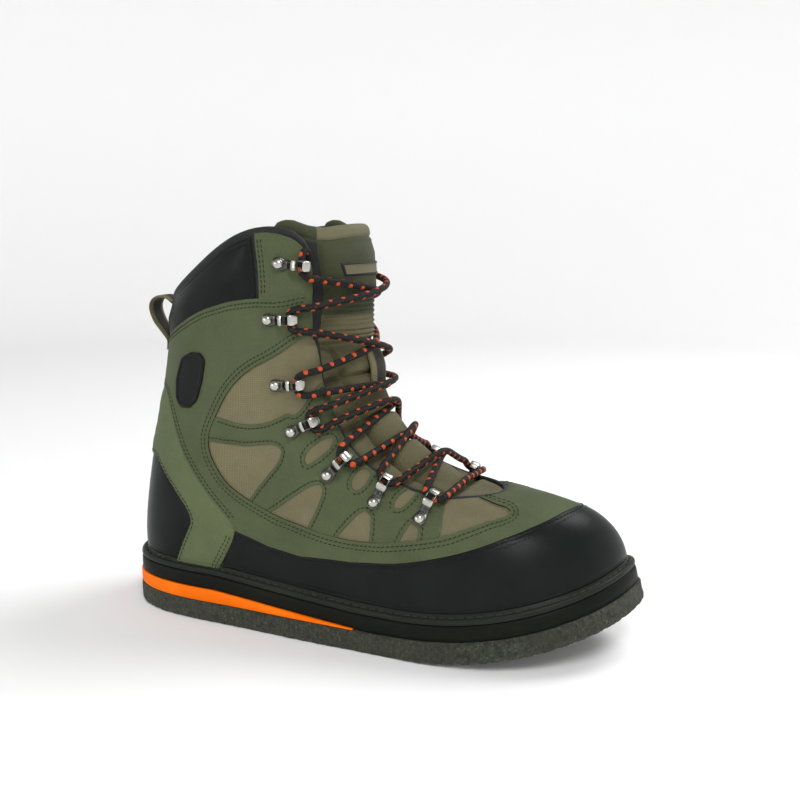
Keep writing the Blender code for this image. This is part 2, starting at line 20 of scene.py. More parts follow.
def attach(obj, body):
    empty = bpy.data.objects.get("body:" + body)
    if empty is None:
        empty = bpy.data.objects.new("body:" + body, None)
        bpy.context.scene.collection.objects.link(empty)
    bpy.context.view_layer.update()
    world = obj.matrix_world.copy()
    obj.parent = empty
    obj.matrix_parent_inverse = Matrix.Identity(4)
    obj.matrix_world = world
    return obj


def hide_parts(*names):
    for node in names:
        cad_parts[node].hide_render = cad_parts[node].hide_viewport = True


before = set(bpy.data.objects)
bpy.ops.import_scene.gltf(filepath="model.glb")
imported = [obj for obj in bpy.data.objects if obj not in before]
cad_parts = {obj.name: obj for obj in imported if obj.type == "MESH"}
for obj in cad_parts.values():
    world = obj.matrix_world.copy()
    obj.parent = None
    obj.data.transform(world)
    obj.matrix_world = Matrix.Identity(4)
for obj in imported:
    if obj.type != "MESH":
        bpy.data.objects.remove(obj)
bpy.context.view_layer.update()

MM = 0.001
GAP = 0.3

# Camera of the photograph
FRAME_PIXELS = 800
AIM = np.array((0.0, 0.0, 90.0))
AIM_PIXEL = (373.3, 473.8)
PIXELS_PER_MM = 1.693
DISTANCE = 600.0
ROUND = math.radians(23.8)
ABOVE = math.radians(14.0)
SENSOR = 36.0

# Driving sizes of the last
LENGTH = 315.0
BALL_WIDTH = 108.5
SHAFT_HEIGHT = 230.0
TOE_SPRING = 29.0
TOE_LEAN = 0.55
SPRING_START = 27.0
SPRING_ANGLE = 2 * math.atan(TOE_SPRING / (LENGTH / 2 - SPRING_START))
SPRING_RADIUS = (LENGTH / 2 - SPRING_START) / math.sin(SPRING_ANGLE)
FLAT_LENGTH = LENGTH / 2 + SPRING_START + SPRING_RADIUS * SPRING_ANGLE

# Sole stack and walls
FELT = 12.4
WEDGE = 7.8
WEDGE_TIP = 0.5
WEDGE_FULL_X = -84.0
WEDGE_TIP_X = 10.0
WEDGE_FADE = 4.0
BOARD_FADE = 32.0
MIDSOLE = 9.2
WELT_WIDTH = 6.5
INSOLE = 4.0
WALL = 3.0

# Ribs of the upper from heel to toe: x of the sole's edge, its lateral and medial half widths, the topline's
# x, y and z, then lean and rise of the lower handle and x, y and z of the upper one. The edge's x is percent
# of FLAT_LENGTH; other x are percent of LENGTH, widths, y and lean of BALL_WIDTH, z and rise of
# SHAFT_HEIGHT.
RIBS = (
    ("heel", 0.0, 0.0, 0.0, 8.4, 0.0, 81.7, 1.6, 17.4, -1.6, 0.0, -26.1),
    ("heel_turn", 3.2, 28.6, 28.6, 10.6, 12.9, 83.9, 1.8, 17.8, -1.3, 2.8, -26.1),
    ("heel_side", 13.3, 42.4, 41.5, 18.3, 26.3, 90.2, 2.0, 18.3, -1.0, 4.6, -26.1),
    ("quarter", 25.4, 44.7, 40.1, 28.4, 33.6, 98.0, 1.8, 18.3, 0.0, 2.8, -27.0),
    ("waist", 33.3, 46.1, 36.9, 36.7, 34.1, 100.0, 1.8, 18.3, 0.6, 3.7, -27.0),
    ("corner", 38.7, 47.0, 35.5, 41.3, 30.4, 97.2, 1.8, 18.3, 0.6, 5.5, -23.9),
    ("shaft_top", 44.4, 47.7, 35.5, 43.2, 25.8, 89.1, 1.8, 17.4, 0.6, 9.2, -19.6),
    ("shaft", 52.4, 48.4, 37.8, 43.7, 24.0, 76.1, 1.4, 16.5, 0.6, 12.0, -16.5),
    ("ankle", 61.0, 49.4, 43.3, 44.4, 22.1, 63.9, 1.4, 15.2, 2.5, 13.8, -13.0),
    ("bend", 69.2, 49.8, 48.4, 49.0, 19.4, 52.6, 1.8, 13.9, 3.8, 14.7, -7.0),
    ("instep", 77.8, 47.0, 49.8, 56.7, 16.6, 44.6, 1.8, 13.5, 5.7, 16.6, -3.5),
    ("ball", 85.7, 39.6, 47.5, 64.0, 12.9, 40.4, 1.8, 13.7, 8.9, 14.7, -0.9),
    ("vamp", 92.7, 26.7, 42.4, 68.4, 7.4, 38.9, 1.8, 14.3, 12.1, 9.2, 0.6),
    ("toe_turn", 97.8, 8.3, 32.3, 70.3, 3.2, 38.3, 1.8, 14.5, 14.0, 3.7, 1.4),
    ("toe", 100.0, -15.7, 15.7, 71.0, 0.0, 38.3, 1.8, 14.5, 14.3, 0.0, 1.4),
)
TOE = len(RIBS) - 1
LOOP = 2 * TOE
# Columns of a rib in millimetres, after the x and y of the sole's edge
RIB_TOP = slice(2, 5)
RIB_PULL = slice(5, 8)
RIB_LEAN = 8
RIB_RISE = 9
RIB_STEPS = 120
PLAN_STEP = 1e-3
SLOPE_STEP = 2e-3

# Where the upper stops, as a share of each rib: the topline, then the edge of the throat
EDGE_PLACE = (0.0, 5.1, 5.5, 5.83, 6.5, 7.4, 8.0, 8.5, 9.0, 10.5, 11.2, 12.0, 13.0, 14.0)
EDGE_HEIGHT = (1.0, 1.0, 0.985, 0.785, 0.835, 0.87, 0.855, 0.775, 0.742, 0.742, 0.80, 0.84, 0.88, 0.895)

# Height of the rand's top edge up the rib, against the place round the boot
RAND_PLACE = (2.9, 3.2, 4.2, 5.5, 7.0, 8.4, 9.5, 10.2, 11.0, 11.8, 13.0, 14.0)
RAND_REACH = (31.0, 29.8, 25.7, 24.4, 28.4, 33.7, 38.0, 40.5, 43.0, 45.0, 47.0, 47.5)

# Millimetres a step of place and of height stand for where the chart is cut into triangles
CHART = np.array((15.0, 160.0))

# Soft troughs and ridges pressed into the upper: two ends on the chart, depth and half width
CREASES = (
    ((6.2, 0.55), (8.6, 0.42), 0.9, 7.0),
    ((6.0, 0.44), (8.4, 0.30), -0.7, 7.0),
    ((5.4, 0.36), (7.6, 0.22), 0.6, 6.0),
    ((1.6, 0.60), (4.2, 0.52), 0.8, 9.0),
    ((0.0, 0.52), (2.4, 0.42), -0.6, 9.0),
    ((2.2, 0.95), (3.4, 0.72), 0.9, 7.0),
    ((10.2, 0.62), (12.6, 0.60), 0.7, 8.0),
    ((9.4, 0.50), (11.4, 0.44), -0.5, 8.0),
)
CREASE_DEPTH = 1.5
CREASE_END = 0.12


def unit(vectors):
    return vectors / np.maximum(np.linalg.norm(vectors, axis=-1, keepdims=True), 1e-12)


def bell(distance, width):
    """One at no distance, fading away over about the width."""
    return np.exp(-((distance / width) ** 2))


def run_of(points):
    """Distances along a line of points from its start."""
    return np.concatenate([[0], np.cumsum(np.linalg.norm(np.diff(points, axis=0), axis=1))])


def sampled(rows, lengths, marks):
    """Rows that lie at these lengths, read at the marks."""
    return np.stack([np.interp(marks, lengths, column) for column in rows.T], -1)


def closed_spline(values):
    """A smooth closed curve through the rows of values, as a function of the row number."""
    values = np.asarray(values, float)
    count = len(values)
    eye = np.eye(count)
    turns = 6 * (np.roll(values, 1, 0) - 2 * values + np.roll(values, -1, 0))
    bends = np.linalg.solve(4 * eye + np.roll(eye, 1, 0) + np.roll(eye, -1, 0), turns)

    def at(place):
        place = np.asarray(place, float)
        row = np.floor(place).astype(int)
        part = (place - row)[..., None]
        rest = 1 - part
        this = row % count
        after = (row + 1) % count
        flat = rest * values[this] + part * values[after]
        return flat + (rest**3 - rest) * bends[this] / 6 + (part**3 - part) * bends[after] / 6

    return at


def through(rows, parts):
    """Rows of an open table with this many steps between each pair, along a smooth curve through them."""
    rows = np.asarray(rows, float)
    padded = np.concatenate([[2 * rows[0] - rows[1]], rows, [2 * rows[-1] - rows[-2]]])
    found = []
    for number in range(len(rows) - 1):
        a, b, c, d = padded[number : number + 4]
        for part in range(parts):
            f = part / parts
            curve = (2 * a - 5 * b + 4 * c - d) * f + (3 * b - a - 3 * c + d) * f * f
            found.append(b + (c - a + curve) * f / 2)
    found.append(rows[-1])
    return np.array(found)


def rib_loop():
    """The rib table in millimetres, heel to toe along the outer side and back along the inner side."""
    loop = []
    for number in range(LOOP):
        outer = number <= TOE
        row = np.array(RIBS[number if outer else LOOP - number][1:]) / 100
        x, lateral, medial, top_x, top_y, top_z, lean, rise, pull_x, pull_y, pull_z = row
        wide = -BALL_WIDTH if outer else BALL_WIDTH
        edge = (x * FLAT_LENGTH - LENGTH / 2, (lateral if outer else medial) * wide)
        top = ((top_x - 0.5) * LENGTH, top_y * wide, top_z * SHAFT_HEIGHT)
        pull = (pull_x * LENGTH, pull_y * wide, pull_z * SHAFT_HEIGHT)
        loop.append((*edge, *top, *pull, lean * BALL_WIDTH, rise * SHAFT_HEIGHT))
    return closed_spline(loop)


RIB_AT = rib_loop()


def from_heel(place):
    """A place counted from the heel on either side."""
    return TOE - np.abs(TOE - np.mod(place, LOOP))


def plan(place, inset=0.0):
    """The sole's edge seen from above, moved inwards by inset."""
    place = np.asarray(place, float)
    along = unit(RIB_AT(place + PLAN_STEP)[..., :2] - RIB_AT(place - PLAN_STEP)[..., :2])
    return RIB_AT(place)[..., :2] - np.stack([along[..., 1], -along[..., 0]], -1) * inset


def spring(x):
    """How far the sole has turned up at a place along the flat sole."""
    return np.clip((x - SPRING_START) / SPRING_RADIUS, 0, None)


def bend(x, y, z):
    """A point of the flat sole carried to its place in the sprung sole."""
    turn = spring(x)
    bent_x = np.where(turn > 0, SPRING_START + (SPRING_RADIUS - z * TOE_LEAN) * np.sin(turn), x)
    bent_z = SPRING_RADIUS * (1 - np.cos(turn)) + z * np.cos(turn)
    return np.stack(np.broadcast_arrays(bent_x, y, bent_z), -1)


def wedge_depth(x):
    share = np.clip((WEDGE_TIP_X - x) / (WEDGE_TIP_X - WEDGE_FULL_X), 0, 1)
    return WEDGE_TIP + (WEDGE - WEDGE_TIP) * share


def midsole_low(x):
    fade = np.clip(1 - (x - WEDGE_TIP_X - GAP) / WEDGE_FADE, 0, 1)
    return FELT + GAP + (wedge_depth(x) + GAP) * fade


def board(x, over=0.0):
    """The level the upper and the insole stand on, and a height over it."""
    fade = np.clip(1 - (x - WEDGE_TIP_X) / BOARD_FADE, 0, 1)
    return FELT + 2 * GAP + wedge_depth(x) - WEDGE_TIP * (1 - fade) + MIDSOLE + over


def rib_points(place, height):
    """The last at a place round the boot and a share of the way up its rib."""
    height = np.asarray(height, float)[..., None]
    row = RIB_AT(place)
    foot = plan(place, WELT_WIDTH)
    out = (plan(place) - foot) / WELT_WIDTH
    base = bend(foot[..., 0], foot[..., 1], board(foot[..., 0]))
    turn = spring(foot[..., 0])
    lean = row[..., RIB_LEAN]
    rise = row[..., RIB_RISE]
    handle = (
        out[..., 0] * np.cos(turn) * lean - np.sin(turn) * rise * TOE_LEAN,
        out[..., 1] * lean,
        out[..., 0] * np.sin(turn) * lean + np.cos(turn) * rise,
    )
    low = base + np.stack(handle, -1)
    top = row[..., RIB_TOP]
    high = top + row[..., RIB_PULL]
    rest = 1 - height
    return rest**3 * base + 3 * rest**2 * height * low + 3 * rest * height**2 * high + height**3 * top


def rib_slopes(place, height):
    """The two ways along the last at a point: per step of place and per step of height."""
    along = rib_points(place + SLOPE_STEP, height) - rib_points(place - SLOPE_STEP, height)
    low = np.clip(height - SLOPE_STEP, 0, None)
    high = height + SLOPE_STEP
    up = (rib_points(place, high) - rib_points(place, low)) / (high - low)[..., None]
    return along / (2 * SLOPE_STEP), up


def outward(place, height):
    return unit(np.cross(*rib_slopes(place, height)))


def relief(place, height):
    """How far the creases push the upper in or out."""
    pushed = np.zeros(np.shape(place))
    here = np.stack([from_heel(place), height], -1) * CHART
    for start, end, depth, width in CREASES:
        away = here - np.array(start) * CHART
        run = (np.array(end) - np.array(start)) * CHART
        share = np.clip(away @ run / run.dot(run), 0, 1)
        ends = np.sin(np.pi * (CREASE_END + (1 - 2 * CREASE_END) * share))
        away = np.linalg.norm(away - share[..., None] * run, axis=-1)
        pushed -= CREASE_DEPTH * depth * bell(away, width) * ends
    return pushed


def skin(place, height, offset):
    """Points standing off the creased upper by offset."""
    place, height, offset = np.broadcast_arrays(*(np.asarray(v, float) for v in (place, height, offset)))
    rise = offset + relief(place, height)
    return rib_points(place, height) + outward(place, height) * rise[..., None]


def edge_height(place):
    return np.interp(from_heel(place), EDGE_PLACE, EDGE_HEIGHT)


def rand_top(place):
    return np.interp(from_heel(place), RAND_PLACE, RAND_REACH)


def reach(place, distance):
    """The height that lies this distance up the rib from the feather line."""
    heights = np.linspace(0, 1, RIB_STEPS + 1)
    return float(np.interp(distance, run_of(rib_points(place, heights)), heights))


# Camera and the photograph's lines of sight
BACK = np.array((math.cos(ABOVE) * math.sin(ROUND), -math.cos(ABOVE) * math.cos(ROUND), math.sin(ABOVE)))
RIGHT = np.array((math.cos(ROUND), math.sin(ROUND), 0.0))
UP = np.cross(BACK, RIGHT)
EYE = AIM + DISTANCE * BACK
SIGHT_PARTS = 40
SIGHT_ROWS = 161


def add_camera():
    data = bpy.data.cameras.new("camera")
    data.sensor_width = SENSOR
    data.lens = SENSOR * PIXELS_PER_MM * DISTANCE / FRAME_PIXELS
    data.shift_x = 0.5 - AIM_PIXEL[0] / FRAME_PIXELS
    data.shift_y = AIM_PIXEL[1] / FRAME_PIXELS - 0.5
    camera = bpy.data.objects.new("camera", data)
    turn = Matrix((RIGHT, UP, BACK)).transposed()
    camera.matrix_world = Matrix.Translation(Vector(EYE * MM)) @ turn.to_4x4()
    bpy.context.scene.collection.objects.link(camera)
    bpy.context.scene.camera = camera


def grid_faces(rows, columns, ring=False, tube=False):
    """Faces of a grid of points; ring joins its last row to the first, tube its last column to the first."""
    faces = []
    for row in range(rows if ring else rows - 1):
        a = row * columns
        b = (row + 1) % rows * columns
        for column in range(columns if tube else columns - 1):
            beside = (column + 1) % columns
            faces.append((a + column, b + column, b + beside, a + beside))
    return faces


def end_faces(rows, columns):
    """The flat ends of a tube of points."""
    return [tuple(range(columns)), tuple(range((rows - 1) * columns, rows * columns))[::-1]]


def surface(grid, ring=False):
    """A grid of points as a surface that lines of sight can meet."""
    return BVHTree.FromPolygons([Vector(p) for p in grid.reshape(-1, 3)], grid_faces(*grid.shape[:2], ring))


def upper_sight():
    """A function that finds the place and height on the upper of a pixel of the photograph."""
    places = np.linspace(0, LOOP, SIGHT_PARTS * TOE + 1)
    grid = np.meshgrid(places, np.linspace(0, 1, SIGHT_ROWS), indexing="ij")
    points = rib_points(*grid)
    tree = surface(points)
    faces = grid_faces(*grid[0].shape)
    points = points.reshape(-1, 3)
    numbers = np.stack(grid, -1).reshape(-1, 2)

    def at(x, y):
        across = (x - AIM_PIXEL[0]) / PIXELS_PER_MM
        down = (y - AIM_PIXEL[1]) / PIXELS_PER_MM
        way = -BACK * DISTANCE + RIGHT * across - UP * down
        spot, _, face, _ = tree.ray_cast(Vector(EYE), Vector(unit(way)))
        if spot is None:
            raise ValueError("pixel %g, %g misses the boot" % (x, y))
        a, b, _, d = faces[face]
        sides = np.stack([points[b] - points[a], points[d] - points[a]], 1)
        share = np.linalg.lstsq(sides, np.array(spot) - points[a], rcond=None)[0]
        return numbers[a] + np.stack([numbers[b] - numbers[a], numbers[d] - numbers[a]], 1) @ share

    return at


# Chart lines
UPPER_SIGHT = upper_sight()
PIXELS_FROM = 100
OUTLINE_PITCH = 1.6
OUTLINE_PARTS = 8
EDGE_MARGIN = 0.012
EDGE_STEPS = 60


def chart(points):
    """Places and heights of outline points."""
    return np.array([UPPER_SIGHT(*point) if point[0] > PIXELS_FROM else point for point in points], float)


def even(charted, pitch=OUTLINE_PITCH):
    """A chart line resampled at an even pitch along the upper."""
    lengths = run_of(rib_points(*charted.T))
    marks = np.linspace(0, lengths[-1], max(int(round(lengths[-1] / pitch)), 2) + 1)
    return sampled(charted, lengths, marks)


def line(*points):
    """An even chart line on a smooth curve through outline points."""
    return even(through(chart(points), OUTLINE_PARTS))


def straight(*points):
    return even(chart(points))


def edge_line(start, end):
    """The upper's own edge between two places, a little below it."""
    places = np.linspace(start, end, EDGE_STEPS)
    return even(np.stack([places, edge_height(places) - EDGE_MARGIN], -1))


def reach_line(start, end, steps, distance):
    """A line from place to place at a distance up from the feather line that depends on the place."""
    places = np.linspace(start, end, steps)
    return even(np.array([(place, reach(place, distance(place))) for place in places]))


def ring_of(*lines):
    """A closed outline from lines that follow each other, without the last point of each."""
    return np.concatenate([piece[:-1] for piece in lines])


def mirrored(outline):
    return np.stack([LOOP - outline[:, 0], outline[:, 1]], -1)


def shifted(outline, distance, closed=False):
    """A chart line moved sideways by a distance, to the left of its run as seen from outside."""
    if closed:
        run = np.roll(outline, -1, 0) - np.roll(outline, 1, 0)
    else:
        run = np.gradient(outline, axis=0)
    along, up = rib_slopes(*outline.T)
    way = unit(along * run[:, :1] + up * run[:, 1:])
    side = np.cross(unit(np.cross(along, up)), way) * distance
    aa = np.sum(along * along, 1)
    ab = np.sum(along * up, 1)
    bb = np.sum(up * up, 1)
    sa = np.sum(side * along, 1)
    sb = np.sum(side * up, 1)
    scale = aa * bb - ab * ab
    return outline + np.stack([(sa * bb - sb * ab) / scale, (sb * aa - sa * ab) / scale], -1)


def inside(points, loops):
    """Which chart points lie inside the first of some closed outlines and outside the others."""
    found = np.zeros((len(loops), len(points)), bool)
    for crossed, loop in zip(found, loops):
        for (ax, ay), (bx, by) in zip(loop, np.roll(loop, -1, 0)):
            if ay != by:
                level = (ay > points[:, 1]) != (by > points[:, 1])
                crossed ^= level & (points[:, 0] < (bx - ax) * (points[:, 1] - ay) / (by - ay) + ax)
    return found[0] & ~found[1:].any(0)


# Mesh making
SHARP_EDGE = math.radians(50)
WELD = 1e-6


def add_mesh(name, points, faces, looks, replaced=(), slot=None, uv=None, kinds=None, sharp=SHARP_EDGE):
    """A piece of the boot from points in millimetres; kinds gives each face's material."""
    data = bpy.data.meshes.new(name)
    data.from_pydata((np.asarray(points, float).reshape(-1, 3) * MM).tolist(), [], [list(f) for f in faces])
    data.validate()
    for look in looks:
        data.materials.append(look)
    if kinds is not None:
        data.polygons.foreach_set("material_index", np.asarray(kinds, np.int32))
    if uv is not None:
        layer = data.uv_layers.new(name="cloth")
        corners = np.zeros(len(data.loops), np.int32)
        data.loops.foreach_get("vertex_index", corners)
        layer.data.foreach_set("uv", np.asarray(uv, np.float32).reshape(-1, 2)[corners].ravel())
    welded = bmesh.new()
    welded.from_mesh(data)
    bmesh.ops.remove_doubles(welded, verts=welded.verts, dist=WELD)
    welded.to_mesh(data)
    welded.free()
    data.shade_smooth()
    data.set_sharp_from_angle(angle=sharp)
    made = bpy.data.objects.new(name, data)
    bpy.context.scene.collection.objects.link(made)
    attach(made, "root")
    if replaced:
        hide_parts(*replaced)
    return made


class Mesh:
    """Points, faces, cloth coordinates and face materials gathered for one piece."""

    def __init__(self):
        self.points = []
        self.faces = []
        self.uv = []
        self.kinds = []
        self.count = 0

    def add(self, points, faces, uv=None, kind=0, flip=False):
        points = np.asarray(points, float).reshape(-1, 3)
        for face in faces:
            moved = [corner + self.count for corner in face]
            self.faces.append(moved[::-1] if flip else moved)
        self.kinds += list(kind) if np.ndim(kind) else [kind] * len(faces)
        self.points.append(points)
        self.uv.append(np.zeros((len(points), 2)) if uv is None else np.asarray(uv).reshape(-1, 2))
        self.count += len(points)

    def build(self, name, looks, **options):
        points = np.concatenate(self.points)
        cloth = np.concatenate(self.uv)
        return add_mesh(name, points, self.faces, looks, uv=cloth, kinds=self.kinds, **options)


# Panels: rows of points beside the rim, the rim's rounding, the groove of its seam and the layer's thickness
RIM_STEPS = (0.4, 1.0, 1.7, 2.3, 2.9, 4.0)
RIM_PARTS = 5
RIM_CLEAR = 0.85
RIM_COARSE = 1.5
PANEL_PITCH = 3.6
PANEL_CLEAR = 5.5
ROUNDING = 0.5
ROUNDING_WIDTH = 0.5
GROOVE_AT = 2.3
GROOVE = 0.28
GROOVE_WIDTH = 0.45
LAYER = 0.65
SINK = 0.4
SUNK_WIDTH = 6.0
EDGE_THINNING = 0.7
EDGE_THINNING_WIDTH = 3.5
PUFF_WIDTH = 8.0
ON_CUT = 1e-4
TOLERANCE = 1e-6


def on_cut(points):
    """Which chart points lie where a panel's two halves join, at the back of the heel and over the toe."""
    return (np.abs(points[:, 0]) < ON_CUT) | (np.abs(points[:, 0] - TOE) < ON_CUT)


def tree_of(charted):
    """Chart points gathered for finding the nearest one to a point."""
    tree = KDTree(len(charted))
    for number, point in enumerate(rib_points(*charted.T)):
        tree.insert(Vector(point), number)
    tree.balance()
    return tree


def distances(tree, charted):
    """How far chart points lie from the nearest one of a tree."""
    return np.array([tree.find(Vector(point))[2] for point in rib_points(*charted.T)])


def panel_points(loops):
    """Chart points of a panel: rows beside its outlines and an even filling, and a tree of the outlines."""
    shares = np.arange(RIM_PARTS)[:, None, None] / RIM_PARTS
    fine = np.concatenate([loop + (np.roll(loop, -1, 0) - loop) * shares for loop in loops], 1)
    fine = fine.reshape(-1, 2)
    tree = tree_of(fine[~on_cut(fine)])
    found = []
    needed = []
    for loop in loops:
        for step in RIM_STEPS:
            for side in (-step, step):
                found.append(shifted(loop, side, closed=True)[:: 1 if step < RIM_COARSE else 2])
                needed.append(np.full(len(found[-1]), step * RIM_CLEAR))
    low = loops[0].min(0) * CHART
    high = loops[0].max(0) * CHART
    across, up = np.meshgrid(*(np.arange(a, b, PANEL_PITCH) for a, b in zip(low, high)))
    across = across + PANEL_PITCH / 2 * (np.arange(len(across)) % 2)[:, None]
    found.append(np.stack([across.ravel(), up.ravel()], -1) / CHART)
    needed.append(np.full(len(found[-1]), PANEL_CLEAR))
    found = np.concatenate(found)
    kept = inside(found, loops) & ~on_cut(found)
    found = found[kept]
    return found[distances(tree, found) > np.concatenate(needed)[kept]], tree


def panel(mesh, loops, lift, thick, puff=0.0, puff_width=PUFF_WIDTH, both=True, sunk=None, groove=GROOVE):
    """A sewn-on panel with holes and a dark cut edge that paints shade at its rim; both adds its mirror on
    the inner side.
    """
    filling, tree = panel_points(loops)
    borders = []
    start = 0
    for loop in loops:
        count = len(loop)
        borders += [(start + n, start + (n + 1) % count) for n in range(count)]
        start += count
    spots = [Vector(p) for p in np.concatenate([*loops, filling]) * CHART]
    found = delaunay_2d_cdt(spots, borders, [], 0, TOLERANCE)
    points = np.array([tuple(v) for v in found[0]]) / CHART
    faces = np.array(found[2])
    faces = faces[inside(points[faces].mean(1), loops)]
    used, faces = np.unique(faces, return_inverse=True)
    points = points[used]
    faces = faces.reshape(-1, 3)
    away = distances(tree, points)
    rise = lift + thick * (1 - ROUNDING * bell(away, ROUNDING_WIDTH)) + puff * (1 - bell(away, puff_width))
    rise -= groove * bell(away - GROOVE_AT, GROOVE_WIDTH)
    to_edge = (edge_height(points[:, 0]) - points[:, 1]) * CHART[1]
    rise *= 1 - EDGE_THINNING * bell(to_edge, EDGE_THINNING_WIDTH)
    if sunk is not None:
        rise -= (thick - LAYER) * bell(distances(tree_of(sunk), points), SUNK_WIDTH)
    edges = {pair for a, b, c in faces for pair in ((a, b), (b, c), (c, a))}
    cut = on_cut(points)
    rim = [(a, b) for a, b in edges if (b, a) not in edges and not (cut[a] and cut[b])]
    count = len(points)
    shapes = [tuple(face) for face in faces]
    shapes += [(b, a, a + count, b + count) for a, b in sorted(rim)]
    shapes += [(c + count, b + count, a + count) for a, b, c in faces]
    # The skirts and underside take the second look: the dark cut edge, also painted shade of the gap at the
    # rim.
    kinds = [0] * len(faces) + [1] * (len(rim) + len(faces))
    charted = np.concatenate([points, points])
    rises = np.concatenate([rise, np.full(count, lift - SINK)])
    for place, flip in ((charted[:, 0], False), (LOOP - charted[:, 0], True))[: 1 + both]:
        mesh.add(skin(place, charted[:, 1], rises), shapes, uv=charted * CHART, kind=kinds, flip=flip)


# Stitches: the shape of one of length 1 and radius 1, then their pitch, length, radius and slant
STITCH_SHAPE = ((-0.5, 0.35), (-0.36, 0.9), (0.0, 1.0), (0.36, 0.9), (0.5, 0.35))
STITCH_SIDES = 5
STITCH_SIZES = (2.7, 1.95, 0.34, 0.16)
STITCH_FLAT = 0.8
STITCH_AHEAD = 0.6
SEAM_MARGIN = 0.02
STITCH_TURNS = np.arange(STITCH_SIDES) * math.tau / STITCH_SIDES
STITCH = np.array([(x, r * math.cos(a), r * math.sin(a)) for x, r in STITCH_SHAPE for a in STITCH_TURNS])
STITCH_GRID = (len(STITCH_SHAPE), STITCH_SIDES)
STITCH_FACES = grid_faces(*STITCH_GRID, tube=True) + end_faces(*STITCH_GRID)


def stitches(mesh, points, normals, sizes=STITCH_SIZES):
    """Stitches along a line of points, lying on the surface with these normals."""
    pitch, length, radius, slant = sizes
    lengths = run_of(points)
    marks = np.arange(pitch / 2, lengths[-1], pitch)
    ahead = sampled(points, lengths, marks + STITCH_AHEAD)
    ways = unit(ahead - sampled(points, lengths, marks - STITCH_AHEAD))
    outs = unit(sampled(normals, lengths, marks))
    ways = unit(ways + np.cross(outs, ways) * slant)
    for spot, way, out in zip(sampled(points, lengths, marks), ways, outs):
        turned = np.stack([way * length, np.cross(out, way) * radius, out * radius * STITCH_FLAT])
        mesh.add(spot + STITCH @ turned, STITCH_FACES, flip=True)


def seam(mesh, outline, offsets, lift, both=True):
    """Rows of stitches beside a chart line."""
    for offset in offsets:
        row = shifted(outline, offset)
        within = row[:, 1] < edge_height(row[:, 0]) - SEAM_MARGIN
        runs = np.split(row, np.flatnonzero(np.diff(within)) + 1)[0 if within[0] else 1 :: 2]
        for run in runs:
            if len(run) > 2:
                for used in (run, mirrored(run))[: 1 + both]:
                    stitches(mesh, skin(*used.T, lift), outward(*used.T))


# Materials
SHEEN_ROUGHNESS = 0.6


def srgb(red, green, blue):
    """A screen colour from 0 to 255 as the shader's own."""
    found = []
    for value in (red, green, blue):
        value /= 255
        found.append(value / 12.92 if value <= 0.04045 else ((value + 0.055) / 1.055) ** 2.4)
    return (*found, 1.0)


def scaled(colour, factor):
    return tuple(min(value * factor, 1.0) for value in colour[:3]) + (1.0,)


